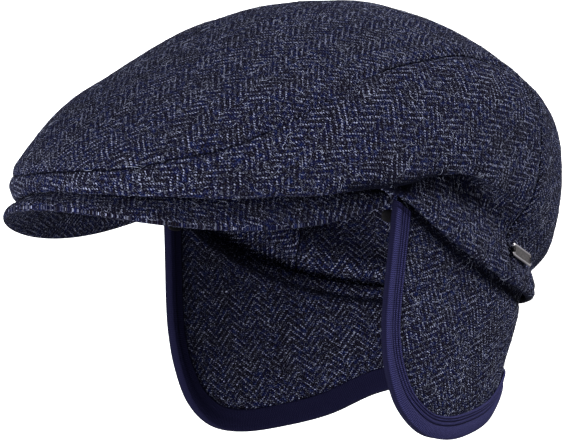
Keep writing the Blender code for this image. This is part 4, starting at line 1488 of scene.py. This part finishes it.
def curly_hairs(f, chart):
    """Thin wandering lines, broken up into short curls."""
    total = None
    for scale, shift, width, keep in HAIR_LAYERS:
        moved = f.moved(chart, shift)
        field = f.noise(moved, scale, detail=1.0, distortion=0.8)
        line = f.ramp(f.math("ABSOLUTE", f.math("SUBTRACT", field, 0.5)), 0.0, width, 1.0, 0.0)
        kept = f.ramp(f.noise(moved, scale * 1.7, detail=0.0), keep, keep + 0.05)
        hair = f.math("MULTIPLY", line, kept)
        total = hair if total is None else f.math("MAXIMUM", total, hair)
    return total


def tape_finish(name):
    """Knitted tape: small staggered loops with painted highlights on their crowns, painted shade in the
    lengthwise grooves, beyond the end seam and at the fold, and a dark end seam line.
    """
    f = Finish(name)
    chart = f.chart()
    across, from_end, _ = f.split(chart)
    zig = f.math("PINGPONG", across, KNIT_WIDTH)
    place = f.math("DIVIDE", f.math("ADD", from_end, zig), KNIT_PITCH)
    loop = f.math("ABSOLUTE", f.math("SUBTRACT", f.math("FRACT", place), 0.5))
    loop = f.math("MULTIPLY_ADD", loop, -2.0, 1.0)
    fuzz = f.fine_grain(chart, 2400.0)
    # The knit loops, lighter towards their middles: a painted highlight on each loop's crown
    lit = f.ramp(f.math("ADD", loop, f.math("MULTIPLY_ADD", fuzz, 1.4, -0.7)), 0.25, 0.90)
    grain_and_lit_knit = f.mix(lit, TAPE_DARK, TAPE_LIGHT)
    # Painted shade in the grooves, beyond the end seam and where the tape turns under at the rim, and a
    # dark line at the end seam itself
    end_seam = f.near(from_end, TAPE_SEAM_FROM_END, END_SEAM_REACH)
    beyond = f.ramp(from_end, 0.9 * TAPE_SEAM_FROM_END, TAPE_SEAM_FROM_END, 0.6, 0.0)
    tape_shade_and_seam = f.math("MAXIMUM", end_seam, beyond)
    for line in BAND_GROOVES:
        tape_shade_and_seam = f.math("MAXIMUM", tape_shade_and_seam, f.near(across, line, GROOVE_SHADE_REACH))
    turned = ROLL_MIDDLE - ROLL_HALF_WIDTH
    fold = f.ramp(across, turned - FOLD_SHADE_FROM, turned + FOLD_SHADE_TO, 0.85, 0.0)
    tape_shade_and_seam = f.math("MAXIMUM", tape_shade_and_seam, fold)
    f.set(Base_Color=f.mix(tape_shade_and_seam, grain_and_lit_knit, TAPE_SHADE_AND_SEAM_TONE), Roughness=0.85, Specular_IOR_Level=0.03,
          Sheen_Weight=0.015, Sheen_Roughness=0.4, Sheen_Tint=(0.35, 0.35, 1.0))
    f.bump(f.math("MULTIPLY_ADD", fuzz, 0.6, loop), TAPE_BUMP, 0.6)
    return f.material


def hair_finish(name):
    """Wool hairs, some dull and some nearly white."""
    f = Finish(name)
    tone = f.noise(f.object_places(), 260.0, detail=1.0)
    f.set(Base_Color=f.mix(f.ramp(tone, 0.40, 0.60), FIBRE_DARK, FIBRE_LIGHT),
          Roughness=0.8, Specular_IOR_Level=0.1)
    return f.material


def black_finish(name):
    """Black of the toggles and the thread: a fine uneven grain that catches a little light."""
    f = Finish(name)
    places = f.object_places()
    grain = f.noise(places, 2600.0, detail=2.0, roughness=0.6)
    grain_and_lit_knit = f.ramp(grain, 0.45, 0.70)
    f.set(Base_Color=f.mix(grain_and_lit_knit, BLACK_DEEP, BLACK_WORN),
          Roughness=f.ramp(grain, 0.3, 0.7, 0.85, 0.6), Specular_IOR_Level=0.15)
    f.bump(grain, BLACK_BUMP, 0.6)
    return f.material


def metal_finish(name):
    """Dull pewter, finely brushed along its length and a little mottled, with a painted highlight round its
    rim.
    """
    f = Finish(name)
    chart = f.chart()
    streaks = f.noise(f.vector("MULTIPLY", chart, (0.08, 1.0, 1.0)), 9000.0, detail=3.0)
    clouds = f.fine_grain(chart, 900.0)
    face = f.mix(f.ramp(clouds, 0.35, 0.65), METAL_DARK, METAL_LIGHT)
    x, y, _ = f.split(chart)
    # Painted highlight round the rim, near the plate's edges
    begins, full = RIM_HIGHLIGHT_FROM_EDGE
    long_edge, short_edge = [f.ramp(f.math("ABSOLUTE", place), size / 2 - begins, size / 2 - full)
                             for place, size in ((y, BADGE_WIDTH), (x, BADGE_LENGTH))]
    rim = f.math("MAXIMUM", long_edge, short_edge)
    f.set(Base_Color=f.mix(rim, face, METAL_RIM_HIGHLIGHT),
          Roughness=f.ramp(streaks, 0.3, 0.7, 0.34, 0.52), Metallic=1.0)
    f.bump(f.math("ADD", streaks, clouds), METAL_BUMP, 0.6)
    return f.material


# Surroundings

def make_stage():
    """White bowl of a backdrop, far from the cap on all sides."""
    turn = np.linspace(0, 2 * pi, BOWL_SIDES + 1)[:-1]
    radii, heights = np.array(BOWL).T[..., None]
    points = np.stack([radii * np.cos(turn), radii * np.sin(turn), heights + 0 * turn], -1)
    f = Finish("backdrop")
    f.set(Base_Color=(0.9, 0.9, 0.9), Roughness=1.0, Specular_IOR_Level=0.0,
          Emission_Color=(1.0, 1.0, 1.0), Emission_Strength=BACKDROP_GLOW)
    made = tube("backdrop", points[::-1], points[..., :2], f.material)
    made.visible_diffuse = False
    made.visible_glossy = False


def aim_in(name, data, distance, way):
    """Put a light or a camera into the scene a distance away from the origin, looking at it."""
    made = bpy.data.objects.new(name, data)
    made.location = distance * way
    made.rotation_euler = Vector(way).to_track_quat("Z", "Y").to_euler()
    bpy.context.scene.collection.objects.link(made)
    return made


def add_light(name, azimuth, elevation, distance, size, power):
    light = bpy.data.lights.new(name, "AREA")
    light.shape = "DISK"
    light.size = size
    light.energy = power
    aim_in(name, light, distance, direction(radians(azimuth), radians(elevation)))


def make_camera():
    camera = bpy.data.cameras.new("camera")
    camera.sensor_width = SENSOR_WIDTH
    camera.lens = PIXELS_PER_METRE * CAMERA_DISTANCE / PICTURE_WIDTH * SENSOR_WIDTH
    camera.shift_x = -(ORIGIN_AT[0] - PICTURE_WIDTH / 2) / PICTURE_WIDTH
    camera.shift_y = -(PICTURE_HEIGHT / 2 - ORIGIN_AT[1]) / PICTURE_WIDTH
    bpy.context.scene.camera = aim_in("camera", camera, CAMERA_DISTANCE, TO_CAMERA)


def make_surroundings():
    make_stage()
    for light in LIGHTS:
        add_light(*light)
    make_sky()
    bpy.context.scene.view_settings.view_transform = "Standard"


def make_sky():
    """Soft light from all round, a little stronger from below, as off a white floor."""
    world = bpy.data.worlds.new("sky")
    world.use_nodes = True
    nodes, links = world.node_tree.nodes, world.node_tree.links
    background = next(n for n in nodes if n.type == "BACKGROUND")
    places = nodes.new("ShaderNodeTexCoord")
    split = nodes.new("ShaderNodeSeparateXYZ")
    rise = nodes.new("ShaderNodeMapRange")
    ends = {"From Min": SKY_FROM, "From Max": SKY_TO, "To Min": SKY_BELOW, "To Max": SKY_ABOVE}
    for name, number in ends.items():
        rise.inputs[name].default_value = number
    links.new(places.outputs["Generated"], split.inputs[0])
    links.new(split.outputs["Z"], rise.inputs["Value"])
    links.new(rise.outputs["Result"], background.inputs["Strength"])
    background.inputs["Color"].default_value = (1.0, 1.0, 1.0, 1.0)
    bpy.context.scene.world = world


def main():
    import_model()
    tweed = tweed_finish("tweed")
    faces = [make(tweed) for make in (make_top_panel, make_side_panel, make_peak, make_flap)]
    make_fibres(faces, hair_finish("wool_hair"))
    make_binding(tape_finish("binding_tape"))
    black = black_finish("tab_black")
    make_tabs(black)
    make_badge(metal_finish("badge_metal"))
    make_badge_thread(black)
    make_surroundings()
    make_camera()


main()
